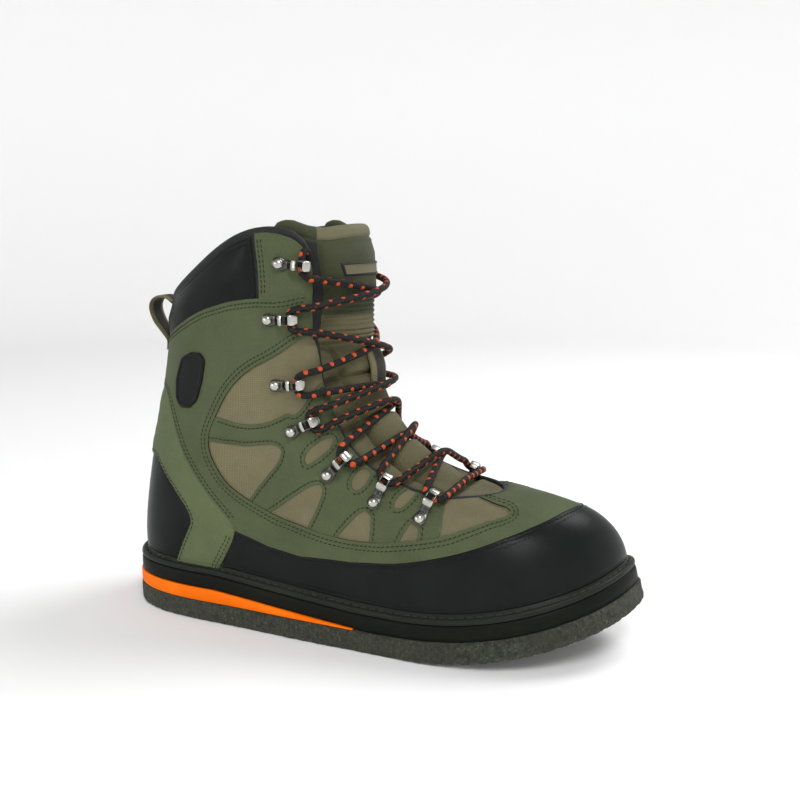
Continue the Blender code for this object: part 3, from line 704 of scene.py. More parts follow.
class Look:
    """A material under construction."""

    def __init__(self, name, colour, rough, metal=0.0, sheen=0.0, specular=0.3):
        self.material = bpy.data.materials.new(name)
        self.material.use_nodes = True
        self.nodes = self.material.node_tree.nodes
        self.links = self.material.node_tree.links
        self.shader = self.nodes["Principled BSDF"]
        self.colour = colour
        self.last_bump = None
        values = {
            "Base Color": colour,
            "Roughness": rough,
            "Metallic": metal,
            "Sheen Weight": sheen,
            "Sheen Roughness": SHEEN_ROUGHNESS,
            "Specular IOR Level": specular,
        }
        for socket, value in values.items():
            self.shader.inputs[socket].default_value = value

    def node(self, kind, **values):
        made = self.nodes.new(kind)
        for key, value in values.items():
            if key in made.inputs:
                made.inputs[key].default_value = value
            else:
                setattr(made, key, value)
        return made

    def where(self, kind="Object"):
        return self.node("ShaderNodeTexCoord").outputs[kind]

    def noise(self, size, detail, rough=0.6):
        """Noise whose blots are about size millimetres across."""
        made = self.node("ShaderNodeTexNoise", Scale=1 / (size * MM), Detail=detail, Roughness=rough)
        self.links.new(self.where(), made.inputs["Vector"])
        return made.outputs["Fac"]

    def cells(self, size):
        made = self.node("ShaderNodeTexVoronoi", Scale=1 / (size * MM))
        self.links.new(self.where(), made.inputs["Vector"])
        return made.outputs["Distance"]

    def sum(self, operation, a, b=0.0):
        made = self.node("ShaderNodeMath", operation=operation)
        for socket, value in zip(made.inputs, (a, b)):
            if hasattr(value, "default_value"):
                self.links.new(value, socket)
            else:
                socket.default_value = value
        return made.outputs["Value"]

    def cloth_axes(self):
        split = self.node("ShaderNodeSeparateXYZ")
        self.links.new(self.where("UV"), split.inputs["Vector"])
        return split.outputs["X"], split.outputs["Y"]

    def weave(self, size, slant):
        """A woven pattern of this size in millimetres, from -1 to 1, in cloth coordinates."""
        x, y = self.cloth_axes()
        if slant:
            x, y = self.sum("ADD", x, y), self.sum("SUBTRACT", x, y)
        waves = [self.sum("SINE", self.sum("MULTIPLY", axis, math.tau / size)) for axis in (x, y)]
        return self.sum("MULTIPLY", *waves)

    def spread(self, factor, **ends):
        made = self.node("ShaderNodeMapRange")
        for socket, value in ends.items():
            made.inputs[socket.replace("_", " ").title()].default_value = value
        self.links.new(factor, made.inputs["Value"])
        return made.outputs["Result"]

    def tint(self, factor, low, high, colour, strength=1.0):
        """Mixes another colour in as factor goes from low to high."""
        factor = self.sum("MULTIPLY", self.spread(factor, from_min=low, from_max=high), strength)
        mix = self.node("ShaderNodeMix", data_type="RGBA")
        self.links.new(factor, mix.inputs[0])
        socket = self.shader.inputs["Base Color"]
        if socket.is_linked:
            self.links.new(socket.links[0].from_socket, mix.inputs[6])
        else:
            mix.inputs[6].default_value = self.colour
        mix.inputs[7].default_value = colour
        self.links.new(mix.outputs[2], socket)

    def gloss(self, factor, low, high):
        self.links.new(self.spread(factor, to_min=low, to_max=high), self.shader.inputs["Roughness"])

    def bump(self, height, depth, strength):
        """Raises the surface by height times depth millimetres."""
        made = self.node("ShaderNodeBump", Strength=strength, Distance=depth * MM)
        self.links.new(height, made.inputs["Height"])
        if self.last_bump:
            self.links.new(self.last_bump, made.inputs["Normal"])
        self.last_bump = made.outputs["Normal"]
        self.links.new(self.last_bump, self.shader.inputs["Normal"])


# Recipes. A tint is a pattern, the two values it fades in between, a share of the base colour and a
# strength; a bump is a pattern, a depth in millimetres and a strength; gloss is a pattern and two changes
# of roughness. A pattern is a noise by size, detail and roughness, or the name of one sized by the look.
COATED = {
    "base": {"specular": 0.2},
    "tints": (((26, 3), 0.35, 0.75, 0.78, 1.0), ((1.1, 5), 0.45, 0.8, 1.32, 0.5)),
    "bumps": (((0.7, 6, 0.7), 0.35, 0.5), ((9, 3), 0.5, 0.5)),
}
OPEN_MESH = {
    "base": {"sheen": 0.04},
    "tints": (
        ((22, 3), 0.4, 0.75, 0.82, 1.0),
        ("slanted", 0.05, 0.9, 0.5, 0.62),
        ((0.9, 4), 0.5, 0.85, 1.4, 0.4),
    ),
    "bumps": (("slanted", -0.22, 0.7), ((0.5, 4), 0.25, 0.4)),
}
KNIT = {
    "base": {"sheen": 0.04},
    "tints": (("squared", 0.0, 1.0, 1.5, 0.4), ((18, 3), 0.4, 0.7, 0.75, 1.0)),
    "bumps": (("squared", 0.16, 0.6), ((0.6, 4), 0.2, 0.4)),
}
RUBBER = {
    "base": {"specular": 0.09},
    "tints": (((30, 4), 0.4, 0.75, 1.5, 0.6), ((0.8, 4), 0.55, 0.85, 1.8, 0.35)),
    "bumps": (("cells", 1.0, 0.5), ((16, 3), 0.4, 0.3)),
    "gloss": ((14, 4), -0.08, 0.12),
}
FIBRE = {
    "base": {"specular": 0.2},
    "tints": (((5, 3), 0.4, 0.7, 0.6, 1.0), ((0.25, 4), 0.5, 0.75, 1.8, 0.6)),
    "bumps": (((0.3, 4), 0.15, 0.6),),
}
FELTED = {
    "base": {"sheen": 0.08},
    "tints": (
        ((2.6, 5, 0.7), 0.44, 0.60, 0.32, 1.0),
        ((1.5, 4, 0.7), 0.55, 0.66, 2.6, 0.9),
        ((24, 3), 0.45, 0.7, 0.7, 0.6),
    ),
    "bumps": (((1.1, 6, 0.8), 1.4, 0.9),),
}
METAL = {
    "base": {"metal": 1.0},
    "tints": (((3, 4), 0.45, 0.7, 0.7, 0.6),),
    "bumps": (((0.8, 3), 0.05, 0.3),),
    "gloss": ((2.5, 4), -0.06, 0.14),
}


def look_of(name, recipe, colour, rough, size=1.0, depth=1.0):
    """A material from a recipe; size is that of its named pattern, depth that of its cells."""
    shade = srgb(*colour)
    look = Look(name, shade, rough, **recipe["base"])

    made = {}

    def pattern(kind):
        if kind not in made:
            if kind == "cells":
                made[kind] = look.cells(size)
            elif isinstance(kind, str):
                made[kind] = look.weave(size, kind == "slanted")
            else:
                made[kind] = look.noise(*kind)
        return made[kind]

    for kind, low, high, share, strength in recipe["tints"]:
        look.tint(pattern(kind), low, high, scaled(shade, share), strength)
    for kind, deep, strength in recipe["bumps"]:
        look.bump(pattern(kind), deep * depth if kind == "cells" else deep, strength)
    if "gloss" in recipe:
        kind, less, more = recipe["gloss"]
        look.gloss(pattern(kind), rough + less, rough + more)
    return look.material


# Lace cloth: spacing, half sizes and sharpness of its flecks, then the strands of its braid
LACE_BLACK = srgb(15, 14, 12)
LACE_GREY = srgb(38, 37, 33)
LACE_ORANGE = srgb(186, 74, 28)
FLECK_PITCH = 7.7
FLECK_STAGGER = 0.42
FLECK_HALVES = (0.15, 0.32)
FLECK_POWER = 3.0
FLECK_EDGE = (1.15, 0.75)
BRAID_LENGTH = 2.6
BRAID_TURNS = 4 * math.pi


def lace_look(name):
    """Braided cord with pairs of bright flecks; cloth x runs along it and y round it, from 0 to 1."""
    look = Look(name, LACE_BLACK, 0.75)
    x, y = look.cloth_axes()
    turns = look.sum("MULTIPLY", y, 2.0)
    half = look.sum("MULTIPLY", look.sum("FLOOR", turns), FLECK_PITCH * FLECK_STAGGER)
    along = look.sum("DIVIDE", look.sum("ADD", x, half), FLECK_PITCH)
    powers = []
    for axis, size in zip((along, turns), FLECK_HALVES):
        away = look.sum("ABSOLUTE", look.sum("SUBTRACT", look.sum("FRACT", axis), 0.5))
        powers.append(look.sum("POWER", look.sum("MULTIPLY", away, 1 / size), FLECK_POWER))
    strands = []
    for sign in (1.0, -1.0):
        lean = look.sum("MULTIPLY", y, sign * BRAID_TURNS)
        run = look.sum("MULTIPLY", x, math.tau / BRAID_LENGTH)
        strands.append(look.sum("SINE", look.sum("ADD", run, lean)))
    braid = look.sum("MULTIPLY", *strands)
    look.tint(braid, 0.1, 0.9, LACE_GREY, 0.7)
    look.tint(look.sum("ADD", *powers), *FLECK_EDGE, LACE_ORANGE)
    look.bump(braid, 0.3, 0.8)
    return look.material


# Webbing: where its pale edges start, and the ribs of its twill
WEBBING_DARK = srgb(24, 23, 17)
WEBBING_PALE = srgb(100, 95, 66)
PALE_EDGE = (0.27, 0.33)
TWILL_LENGTH = 1.6
TWILL_COUNT = 7


def stripe_look(name):
    """Webbing with pale edges; cloth y runs across it from 0 to 1."""
    look = Look(name, WEBBING_DARK, 0.8, sheen=0.04)
    x, y = look.cloth_axes()
    look.tint(look.sum("ABSOLUTE", look.sum("SUBTRACT", y, 0.5)), *PALE_EDGE, WEBBING_PALE)
    ribs = look.sum("SINE", look.sum("MULTIPLY", x, math.tau / TWILL_LENGTH))
    cross = look.sum("SINE", look.sum("MULTIPLY", y, math.tau * TWILL_COUNT))
    twill = look.sum("MULTIPLY", ribs, cross)
    look.tint(twill, 0.2, 1.0, scaled(WEBBING_PALE, 0.9), 0.25)
    look.bump(twill, 0.25, 0.8)
    return look.material


GREEN = look_of("green_cloth", COATED, (73, 81, 54), 0.62)
GREEN_STRAP = look_of("green_strap", COATED, (85, 95, 64), 0.62)
TAN = look_of("tan_mesh", OPEN_MESH, (112, 106, 78), 0.85, 1.7)
BLACK_PAD = look_of("black_pad", KNIT, (19, 22, 20), 0.6, 1.3)
COLLAR_LOOK = look_of("collar_cloth", RUBBER, (17, 21, 19), 0.38, 1.4, 0.1)
LINING = look_of("lining", KNIT, (22, 24, 21), 0.75, 2.2)
RAND_LOOK = look_of("rand_coating", RUBBER, (19, 23, 21), 0.31, 0.9, 0.06)
# The welt's rubber is lighter than the midsole's, its grey partly a painted highlight on the rounded bead
WELT_LOOK_WITH_HIGHLIGHT = look_of("welt_rubber_painted_highlight", RUBBER, (31, 35, 30), 0.38, 0.9, 0.06)
MIDSOLE_LOOK = look_of("midsole_rubber", RUBBER, (15, 17, 12), 0.48, 0.9, 0.06)
ORANGE = look_of("orange_foam", RUBBER, (238, 106, 2), 0.55, 0.8, 0.05)
FELT_LOOK = look_of("felt", FELTED, (56, 59, 46), 0.95)
# Dark cut edge of the panels, its colour also painted shade of the gaps at their rims
CUT_EDGE_AND_GAP_SHADE = look_of("cut_edge_and_painted_gap_shade", FIBRE, (20, 23, 15), 0.85)
THREAD = look_of("thread", FIBRE, (40, 46, 30), 0.8)
DARK_THREAD = look_of("dark_thread", FIBRE, (12, 14, 13), 0.6)
WELT_THREAD = look_of("welt_thread", FIBRE, (54, 57, 49), 0.7)
STEEL = look_of("steel", METAL, (186, 186, 178), 0.2)
# Steel painted darker on the hooks' legs and rails: a painted reflection of dark surroundings
DARK_REFLECTION_STEEL = look_of("steel_painted_dark_reflection", METAL, (84, 84, 80), 0.2)
LACE_LOOK = lace_look("lace_braid")
TONGUE_CLOTH = look_of("tongue_cloth", KNIT, (54, 58, 35), 0.75, 1.2)
TONGUE_TAN = look_of("tongue_mesh", OPEN_MESH, (97, 93, 66), 0.85, 1.6)
TONGUE_ROLL = look_of("tongue_roll", KNIT, (98, 95, 71), 0.75, 1.2)
PATCH_LOOK = look_of("patch_rubber", RUBBER, (20, 22, 21), 0.45, 0.8, 0.06)
WEBBING = stripe_look("webbing")
INSOLE_LOOK = look_of("insole_cloth", KNIT, (40, 42, 38), 0.75, 1.6)


def rims(places, section, level):
    """Lines round the sole: section gives insets and the numbers that level turns into heights at each x."""
    lines = []
    for inset, number in section:
        foot = plan(places, inset)
        lines.append(bend(foot[:, 0], foot[:, 1], level(foot[:, 0], number)))
    return np.stack(lines, 1)


# The upper's wall: its grid, the thicker collar, and where the mesh is black round the collar
UPPER_PARTS = 26
UPPER_ROWS = 70
COLLAR_PAD = 3.5
PAD_TO = 5.0
PAD_DEPTH = 67.5
PAD_RIB = 170.0
COLLAR_TO = (5.75, 0.80)


def eased(share):
    share = np.clip(share, 0, 1)
    return share * share * (3 - 2 * share)


def make_upper():
    """The upper's wall: mesh outside, lining inside, in one shell."""
    around = UPPER_PARTS * TOE
    places = np.arange(around) * LOOP / around
    place, share = np.meshgrid(places, np.linspace(0, 1, UPPER_ROWS + 1), indexing="ij")
    height = share * edge_height(place)
    near_top = eased(1 - (1 - height) * PAD_RIB / PAD_DEPTH)
    wall = WALL + COLLAR_PAD * eased(PAD_TO - from_heel(place)) * near_top
    inner = skin(place, height, -wall)
    inner[:, 0] = rims(places, ((WELT_WIDTH + WALL, 0.0),), board)[:, 0]
    points = np.concatenate([skin(place, height, 0.0), inner[:, ::-1]], axis=1)
    uv = np.stack([place, height], -1) * CHART
    uv = np.concatenate([uv, uv[:, ::-1]], axis=1)
    kinds = np.ones(points.shape[:2], int)
    kinds[:, :UPPER_ROWS] = ((from_heel(place) < COLLAR_TO[0]) & (height > COLLAR_TO[1]))[:, :UPPER_ROWS]
    faces = grid_faces(*points.shape[:2], ring=True, tube=True)
    add_mesh("upper_wall", points, faces, [TAN, LINING], ("upper",), "canvas", uv, kinds.ravel())


# Outlines of the outer side, which the inner side mirrors: the band, the cage under it and its windows
COLLAR_EDGE = line(
    (311, 297), (285, 297.5), (250, 299), (220, 304), (200, 311.5), (185, 321.5), (172, 334.5),
    (0.35, 0.872), (0, 0.872),
)
BAND_REAR = line((0, 0.70), (0.7, 0.69), (168, 392), (175, 425), (190, 465), (210, 497), (235, 528))
BAND_INNER = line(
    (313, 339), (280, 353), (250, 370), (230, 389), (216, 414), (209, 440), (216, 465), (232, 487),
    (258, 505), (290, 521), (338, 538), (400, 542), (440, 537.5), (467, 529.5), (487, 522), (499, 518.5),
    (507, 515.5), (510.5, 511.5), (506, 508), (495, 504.5), (485, 500), (11.49, 0.80),
)
BAND_FRONT = straight((313, 339), (312.5, 320), (311, 297))
BAND_FOOT_FROM = 3.25
BAND_FOOT_STEPS = 90
BAND_UNDER = 5.0
THROAT_FROM = 11.5
CAGE_TOP = line((330, 396), (305, 403.5), (285, 414), (262, 423.5), (240, 424), (217, 417.5), (204, 414))
CAGE_FRONT = line((437, 548), (439.5, 537), (441.5, 527), (445.5, 503), (446, 499))
CAGE_UNDER = 9.0
CAGE_LOW = 0.5
WINDOWS = (
    (
        (205, 441), (225, 444), (245, 446.5), (265, 445), (275, 445), (282, 450), (279, 461), (268, 475),
        (258, 487), (249, 500), (238, 500), (222, 488), (208, 468), (202, 450),
    ),
    (
        (268, 514), (285, 503), (300, 493), (312, 486), (320, 484), (324, 488), (322, 496), (315, 511),
        (309, 524), (304, 534), (290, 530),
    ),
    (
        (334, 542), (340, 533), (350, 522.5), (360, 513), (365, 511), (370, 514), (370.5, 528), (369, 545),
        (352, 547),
    ),
    ((398, 545), (402, 536), (410, 525), (415.5, 520), (419, 524), (418.5, 533), (416, 545)),
    (
        (307, 466), (304, 459), (308, 451), (318, 443.5), (329, 438), (334, 438), (333, 443), (327, 451),
        (318, 459),
    ),
    ((352, 490), (351, 482), (357, 473.5), (364, 468.5), (370, 470), (371, 475), (366, 484), (359, 490.5)),
    ((394, 509), (394, 503), (400, 495.5), (408, 489.5), (415, 488.5), (416, 493), (410, 501), (402, 508)),
)
WINDOW_PITCH = 1.4
WINDOW_SOFTENINGS = 2

# Distances of a seam's rows from an edge on their right, and from one on their left
ONE_ROW = (2.3,)
TWO_ROWS = (2.3, 4.5)
INNER_ROWS = (-2.3, -4.6)


def sewn(name, look, loops, lift, thick, slot="canvas", replaced=(), **shape):
    """A piece that is one panel."""
    mesh = Mesh()
    panel(mesh, loops, lift, thick, **shape)
    return mesh.build(name, [look, CUT_EDGE_AND_GAP_SHADE], slot=slot, replaced=replaced)


def window(points):
    """A closed outline through points, its corners a little rounded."""
    outline = even(chart([*points, points[0]]), WINDOW_PITCH)[:-1]
    for _ in range(WINDOW_SOFTENINGS):
        outline = (np.roll(outline, 1, 0) + 2 * outline + np.roll(outline, -1, 0)) / 4
    return outline


def make_cage(threads):
    """The green ribs between the mesh windows, under the band's edge."""
    hidden = shifted(BAND_INNER, -CAGE_UNDER)
    low = hidden[:, 1] < min(CAGE_TOP[-1, 1], CAGE_LOW)
    hidden = hidden[low & (hidden[:, 0] < CAGE_FRONT[0, 0])]
    throat = edge_line(CAGE_FRONT[-1, 0], CAGE_TOP[0, 0])
    outline = np.concatenate([CAGE_TOP[:-1], hidden, CAGE_FRONT[:-1], throat])
    holes = [window(points) for points in WINDOWS]
    sewn("cage", GREEN, [outline, *holes], 0.0, LAYER)
    seam(threads, CAGE_TOP[4:-6], ONE_ROW, LAYER)
    for hole in holes:
        seam(threads, np.concatenate([hole, hole[:1]]), ONE_ROW, LAYER)


def make_band(threads):
    """The big green band: round the collar, down the sides and over the vamp."""
    throat = edge_line(TOE, THROAT_FROM)
    foot = reach_line(BAND_FOOT_FROM, TOE, BAND_FOOT_STEPS, lambda place: rand_top(place) - BAND_UNDER)
    heel = straight(COLLAR_EDGE[-1], BAND_REAR[0])
    over_toe = straight(foot[-1], throat[0])
    outline = ring_of(COLLAR_EDGE, heel, BAND_REAR, foot, over_toe, throat, BAND_INNER[::-1], BAND_FRONT)
    sewn("band", GREEN, [outline], LAYER, LAYER)
    seam(threads, COLLAR_EDGE[2:], TWO_ROWS, 2 * LAYER)
    seam(threads, BAND_REAR[:-3], TWO_ROWS, 2 * LAYER)
    seam(threads, BAND_INNER[4:], INNER_ROWS, 2 * LAYER)


# The heel piece with its straps: thickness, lift, and what the band covers and presses flat
STRAP = 2.3
STRAP_LIFT = 0.1
STRAP_UNDER = 6.0
STRAP_SUNK = 3.0
STRAP_REAR = line(
    (0, 0.445), (0.7, 0.44), (160, 455), (170, 478), (180, 495), (188, 508), (192, 520), (189, 530),
    (184, 542), (179, 557), (2.0, 0.02),
)
STRAP_FRONT = line((2.84, 0.02), (222, 565), (228, 553), (234, 541), (236, 532), (235, 527))


def make_heel_piece(threads):
    """The green piece behind the band, with a strap down each side to the sole."""
    top = shifted(BAND_REAR, STRAP_UNDER)[::-1]
    top[-1, 0] = 0.0
    foot = straight(STRAP_REAR[-1], STRAP_FRONT[0])
    heel = straight(top[-1], STRAP_REAR[0])
    outline = ring_of(STRAP_REAR, foot, np.concatenate([STRAP_FRONT, top]), heel)
    sewn("heel_piece", GREEN_STRAP, [outline], STRAP_LIFT, STRAP, sunk=shifted(BAND_REAR, STRAP_SUNK))
    seam(threads, STRAP_FRONT[:-4], TWO_ROWS, STRAP + STRAP_LIFT)
    seam(threads, STRAP_REAR[:-2], ONE_ROW, STRAP + STRAP_LIFT)


# Rands: height of their foot, lift, thickness, swelling and stitches, and their ends round the boot
RAND_FOOT = 4.9
RAND_LIFT = 0.4
RAND_THICK = 1.3
RAND_PUFF = 0.5
RAND_STITCH_LIFT = 1.75
RAND_ROWS = (-2.4, -4.8)
ARCH_ROW = (-2.2,)
COUNTER_GAP = 1.2
COUNTER_LOW = 0.045
COUNTER_STEPS = 30
TOE_RAND = (3.2, 18.9)
TOE_RAND_STEPS = 160
TOE_RAND_BACK = ((2.9, RAND_FOOT), (3.06, 19.6), (3.2, 29.8))
ARCH_RAND = (18.92, 24.85)
ARCH_RAND_STEPS = 80
ARCH_RAND_SLANT = 0.25


def rand_foot(place):
    return RAND_FOOT


def add_rand(name, node, outline, both=False):
    shape = {"puff": RAND_PUFF, "both": both}
    sewn(name, RAND_LOOK, [outline], RAND_LIFT, RAND_THICK, "rand", (node,), **shape)


def make_rands(threads):
    """Toe rand, arch rand and heel counter."""
    counter = shifted(STRAP_REAR, COUNTER_GAP)
    counter[0, 0] = 0.0
    counter = counter[counter[:, 1] > COUNTER_LOW]
    foot = reach_line(counter[-1, 0], 0, COUNTER_STEPS, rand_foot)
    heel = straight(foot[-1], counter[0])
    add_rand("counter", "heel_counter", ring_of(np.concatenate([counter, foot]), heel), both=True)
    top = reach_line(*TOE_RAND, TOE_RAND_STEPS, rand_top)
    foot = reach_line(TOE_RAND[1], TOE_RAND_BACK[0][0], TOE_RAND_STEPS, rand_foot)
    back = line(*((place, reach(place, distance)) for place, distance in TOE_RAND_BACK))
    add_rand("toe_rand_coating", "toe_rand", ring_of(top, straight(top[-1], foot[0]), foot, back))
    seam(threads, top, RAND_ROWS, RAND_STITCH_LIFT, both=False)
    top = reach_line(*ARCH_RAND, ARCH_RAND_STEPS, rand_top)
    foot = reach_line(ARCH_RAND[1] + ARCH_RAND_SLANT, ARCH_RAND[0], ARCH_RAND_STEPS, rand_foot)
    front = straight(foot[-1], top[0])
    add_rand("arch_rand_coating", "arch_rand", ring_of(top, straight(top[-1], foot[0]), foot, front))
    seam(threads, top, RAND_ROWS, RAND_STITCH_LIFT, both=False)
    seam(threads, front[::-1], ARCH_ROW, RAND_STITCH_LIFT, both=False)


# Collar pad and the eyestay in front of it
EYESTAY_SIDE = line((254.5, 233.5), (256.5, 250), (258.5, 268), (259.5, 285), (259.5, 304))
EYESTAY_BASE = straight((259.5, 304), (285, 303), (312, 303))
EYESTAY_FRONT = straight((312, 303), (312.5, 280), (311, 262), (305.5, 251))
EYESTAY_TOP = line((305.5, 251), (298.5, 243), (284, 235.5), (268, 232.5), (254.5, 233.5))
EYESTAY_ROWS = (1.8, 4.0)
COLLAR_UNDER = (2.5, 2.0)
COLLAR_TOP = 0.985
COLLAR_STEPS = 50
COLLAR_LIFT = 0.2
COLLAR_THICK = 0.8
COLLAR_PUFF = 2.4
COLLAR_PUFF_WIDTH = 9.0


def make_collar(threads):
    """The black padded collar and the green eyestay in front of it."""
    side = shifted(EYESTAY_SIDE, -COLLAR_UNDER[0])
    low = shifted(COLLAR_EDGE, COLLAR_UNDER[1])
    low = low[low[:, 0] < side[-1, 0]]
    low[-1, 0] = 0.0
    places = np.linspace(0, side[0, 0], COLLAR_STEPS)
    top = even(np.stack([places, np.full(COLLAR_STEPS, COLLAR_TOP)], -1))
    outline = ring_of(np.concatenate([top, side, low]), straight(low[-1], top[0]))
    shape = {"puff": COLLAR_PUFF, "puff_width": COLLAR_PUFF_WIDTH}
    sewn("collar_pad", COLLAR_LOOK, [outline], COLLAR_LIFT, COLLAR_THICK, **shape)
    outline = ring_of(EYESTAY_SIDE, EYESTAY_BASE, EYESTAY_FRONT, EYESTAY_TOP)
    sewn("eyestay_top", GREEN, [outline], LAYER, LAYER)
    seam(threads, EYESTAY_SIDE[2:-4], EYESTAY_ROWS, 2 * LAYER)


# Rolled edges: places they run between, radius and depth; then their grid and the taper of their ends
ROLLS = ((-5.55, 5.55, 2.1, -1.5), (5.5, LOOP - 5.5, 1.4, -0.9))
ROLL_PARTS = 260
ROLL_SIDES = 12
ROLL_TAPER = (6, 0.05)


def tapered(count, steps, least):
    """A share for each of a row of rings, rounding off both ends of a cord."""
    to_end = np.minimum(np.arange(count), np.arange(count)[::-1])
    return np.clip(to_end / steps, least, 1) ** 0.5


def rings(centre, out, side, radii, turns):
    """Circles of points round each centre."""
    ring = out[:, None] * np.cos(turns)[:, None] + side[:, None] * np.sin(turns)[:, None]
    return centre[:, None] + ring * radii[:, None, None]


def make_rolls():
    """The black rolled edge of the collar and the thin binding of the throat."""
    mesh = Mesh()
    turns = np.linspace(0, math.tau, ROLL_SIDES + 1)
    for start, end, radius, depth in ROLLS:
        places = np.linspace(start, end, ROLL_PARTS)
        heights = edge_height(places)
        centre = skin(places, heights, depth)
        way = unit(np.gradient(centre, axis=0))
        out = outward(places, heights)
        out = unit(out - way * np.sum(out * way, 1)[:, None])
        points = rings(centre, out, np.cross(way, out), radius * tapered(ROLL_PARTS, *ROLL_TAPER), turns)
        uv = np.stack(np.broadcast_arrays(run_of(centre)[:, None], turns * radius), -1)
        mesh.add(points, grid_faces(ROLL_PARTS, ROLL_SIDES + 1), uv)
    mesh.build("edge_rolls", [BLACK_PAD], slot="canvas")


# Welt section: inset from the sole's edge and height over the board; then the stitches in its groove
WELT_SECTION = (
    (1.3, 0.1), (0.9, 0.9), (0.95, 2.2), (1.4, 3.1), (2.2, 3.5), (2.9, 3.4), (3.3, 2.9), (3.7, 2.7),
    (4.1, 3.0), (4.5, 4.3), (5.1, 5.2), (5.7, 5.1), (6.1, 4.2), (6.2, 1.0),
)
WELT_AROUND = 300
WELT_GROOVE = (3.7, 3.4)
WELT_GROOVE_STEPS = 700
WELT_STITCH = (5.2, 4.0, 0.75, 0.0)


def make_welt():
    points = rims(np.arange(WELT_AROUND) * LOOP / WELT_AROUND, WELT_SECTION, board)
    faces = grid_faces(*points.shape[:2], ring=True, tube=True)
    # The welt's lightened rubber paints the highlight on its bead.
    add_mesh("welt_rim", points, faces, [WELT_LOOK_WITH_HIGHLIGHT], ("welt",), "black_rubber")
    groove = rims(np.linspace(0, LOOP, WELT_GROOVE_STEPS), (WELT_GROOVE,), board)[:, 0]
    mesh = Mesh()
    stitches(mesh, groove, np.tile((0.0, 0.0, 1.0), (len(groove), 1)), WELT_STITCH)
    mesh.build("welt_threads", [WELT_THREAD], slot="black_rubber")


# Sole layers: insets from the edge, with heights for the felt and shares of the way up for the other two
FELT_EDGE = (
    (4.0, 0.0), (1.6, 0.05), (0.6, 0.5), (0.1, 1.4), (-0.1, 3.5), (0.0, 6.5), (-0.1, 9.5), (0.1, 11.4),
    (0.5, 12.2), (1.5, FELT),
)
WEDGE_EDGE = ((0.6, 0.0), (0.2, 0.08), (0.1, 0.5), (0.2, 0.92), (0.6, 1.0))
MIDSOLE_EDGE = ((1.5, 0.0), (1.0, 0.06), (0.9, 0.45), (1.0, 0.8), (1.4, 0.93), (2.2, 1.0))
SOLE_STEPS = 420
WEDGE_STEPS = 110
FINE_STEPS = 2801
FELT_ACROSS = 14
ACROSS = 6
# Unevenness of the felt: where it starts, sizes and depths, and the two waves it is made of
WOBBLE_FROM = 0.3
WOBBLES = ((6.0, 0.2), (2.1, 0.2), (1.1, 0.12))
WAVES = np.array(((1.9, 2.7, 3.1), (-2.3, 1.7, 2.9)))
WAVE_PHASES = np.array((0.0, 1.3))


def sole_layer(name, section, level, look, slot, node, places, across=ACROSS):
    """A closed sole layer: section runs from its bottom edge up, and its two faces are filled across."""
    outer = rims(places, section, level)
    inner = rims(LOOP - places, section, level)
    shares = np.linspace(0, 1, across + 1)[1:-1, None]
    top = outer[:, -1:] + (inner[:, -1:] - outer[:, -1:]) * shares
    low = inner[:, :1] + (outer[:, :1] - inner[:, :1]) * shares
    points = np.concatenate([outer, top, inner[:, ::-1], low], 1)
    grid = points.shape[:2]
    return add_mesh(name, points, grid_faces(*grid, tube=True) + end_faces(*grid), [look], (node,), slot)


def make_sole():
    def felt_level(x, height):
        return height

    def wedge_level(x, share):
        return FELT + GAP + wedge_depth(x) * share

    def midsole_level(x, share):
        return midsole_low(x) + (board(x) - GAP - midsole_low(x)) * share

    fine = np.linspace(0, TOE, FINE_STEPS)
    tip = np.linspace(0, float(np.interp(WEDGE_TIP_X, plan(fine)[:, 0], fine)), WEDGE_STEPS)
    places = np.linspace(0, TOE, SOLE_STEPS)
    felt = (FELT_LOOK, "felt", "felt_outsole", places, FELT_ACROSS)
    made = sole_layer("felt_layer", FELT_EDGE, felt_level, *felt)
    for vertex in made.data.vertices:
        spot = np.array(vertex.co) / MM
        if spot[2] > WOBBLE_FROM:
            rise = sum(depth * np.prod(np.sin(WAVES @ spot / size + WAVE_PHASES)) for size, depth in WOBBLES)
            vertex.co += vertex.normal * rise * MM
    sole_layer("wedge_layer", WEDGE_EDGE, wedge_level, ORANGE, "orange", "heel_wedge", tip)
    sole_layer("midsole_layer", MIDSOLE_EDGE, midsole_level, MIDSOLE_LOOK, "black_rubber", "midsole", places)


# Insole: its grid, the depth of its dish, how square the dish is, and the levels of its rim and underside
INSOLE_GRID = (120, 25)
INSOLE_TOP = INSOLE - 0.2
INSOLE_DISH = 0.9
INSOLE_SQUARE = 6
INSOLE_RIM = INSOLE - 0.4
INSOLE_RIM_SHARE = 1 - 0.05 / 1.2
INSOLE_UNDER = 0.05


def make_insole():
    """The insole, its top dished, with its cloth."""
    inset = WELT_WIDTH + WALL + 2 * GAP
    places = np.linspace(0, TOE, INSOLE_GRID[0])
    across = np.linspace(0, 1, INSOLE_GRID[1])
    outer = plan(places, inset)
    inner = plan(LOOP - places, inset)
    flat = outer[:, None] + (inner - outer)[:, None] * across[:, None]
    edge = np.abs(2 * across - 1) ** INSOLE_SQUARE
    level = np.where(edge > INSOLE_RIM_SHARE, INSOLE_RIM, INSOLE_TOP - INSOLE_DISH * (1 - edge))
    x, y = np.moveaxis(flat, -1, 0)
    top = bend(x, y, board(x, level))
    low = bend(x, y, board(x, INSOLE_UNDER))
    points = np.concatenate([top, low[:, ::-1]], 1)
    cloth = np.concatenate([flat, flat[:, ::-1]], 1)
    mesh = Mesh()
    mesh.add(points, grid_faces(*points.shape[:2], tube=True), cloth, flip=True)
    mesh.build("insole_pad", [INSOLE_LOOK], replaced=("insole",), slot="foam")


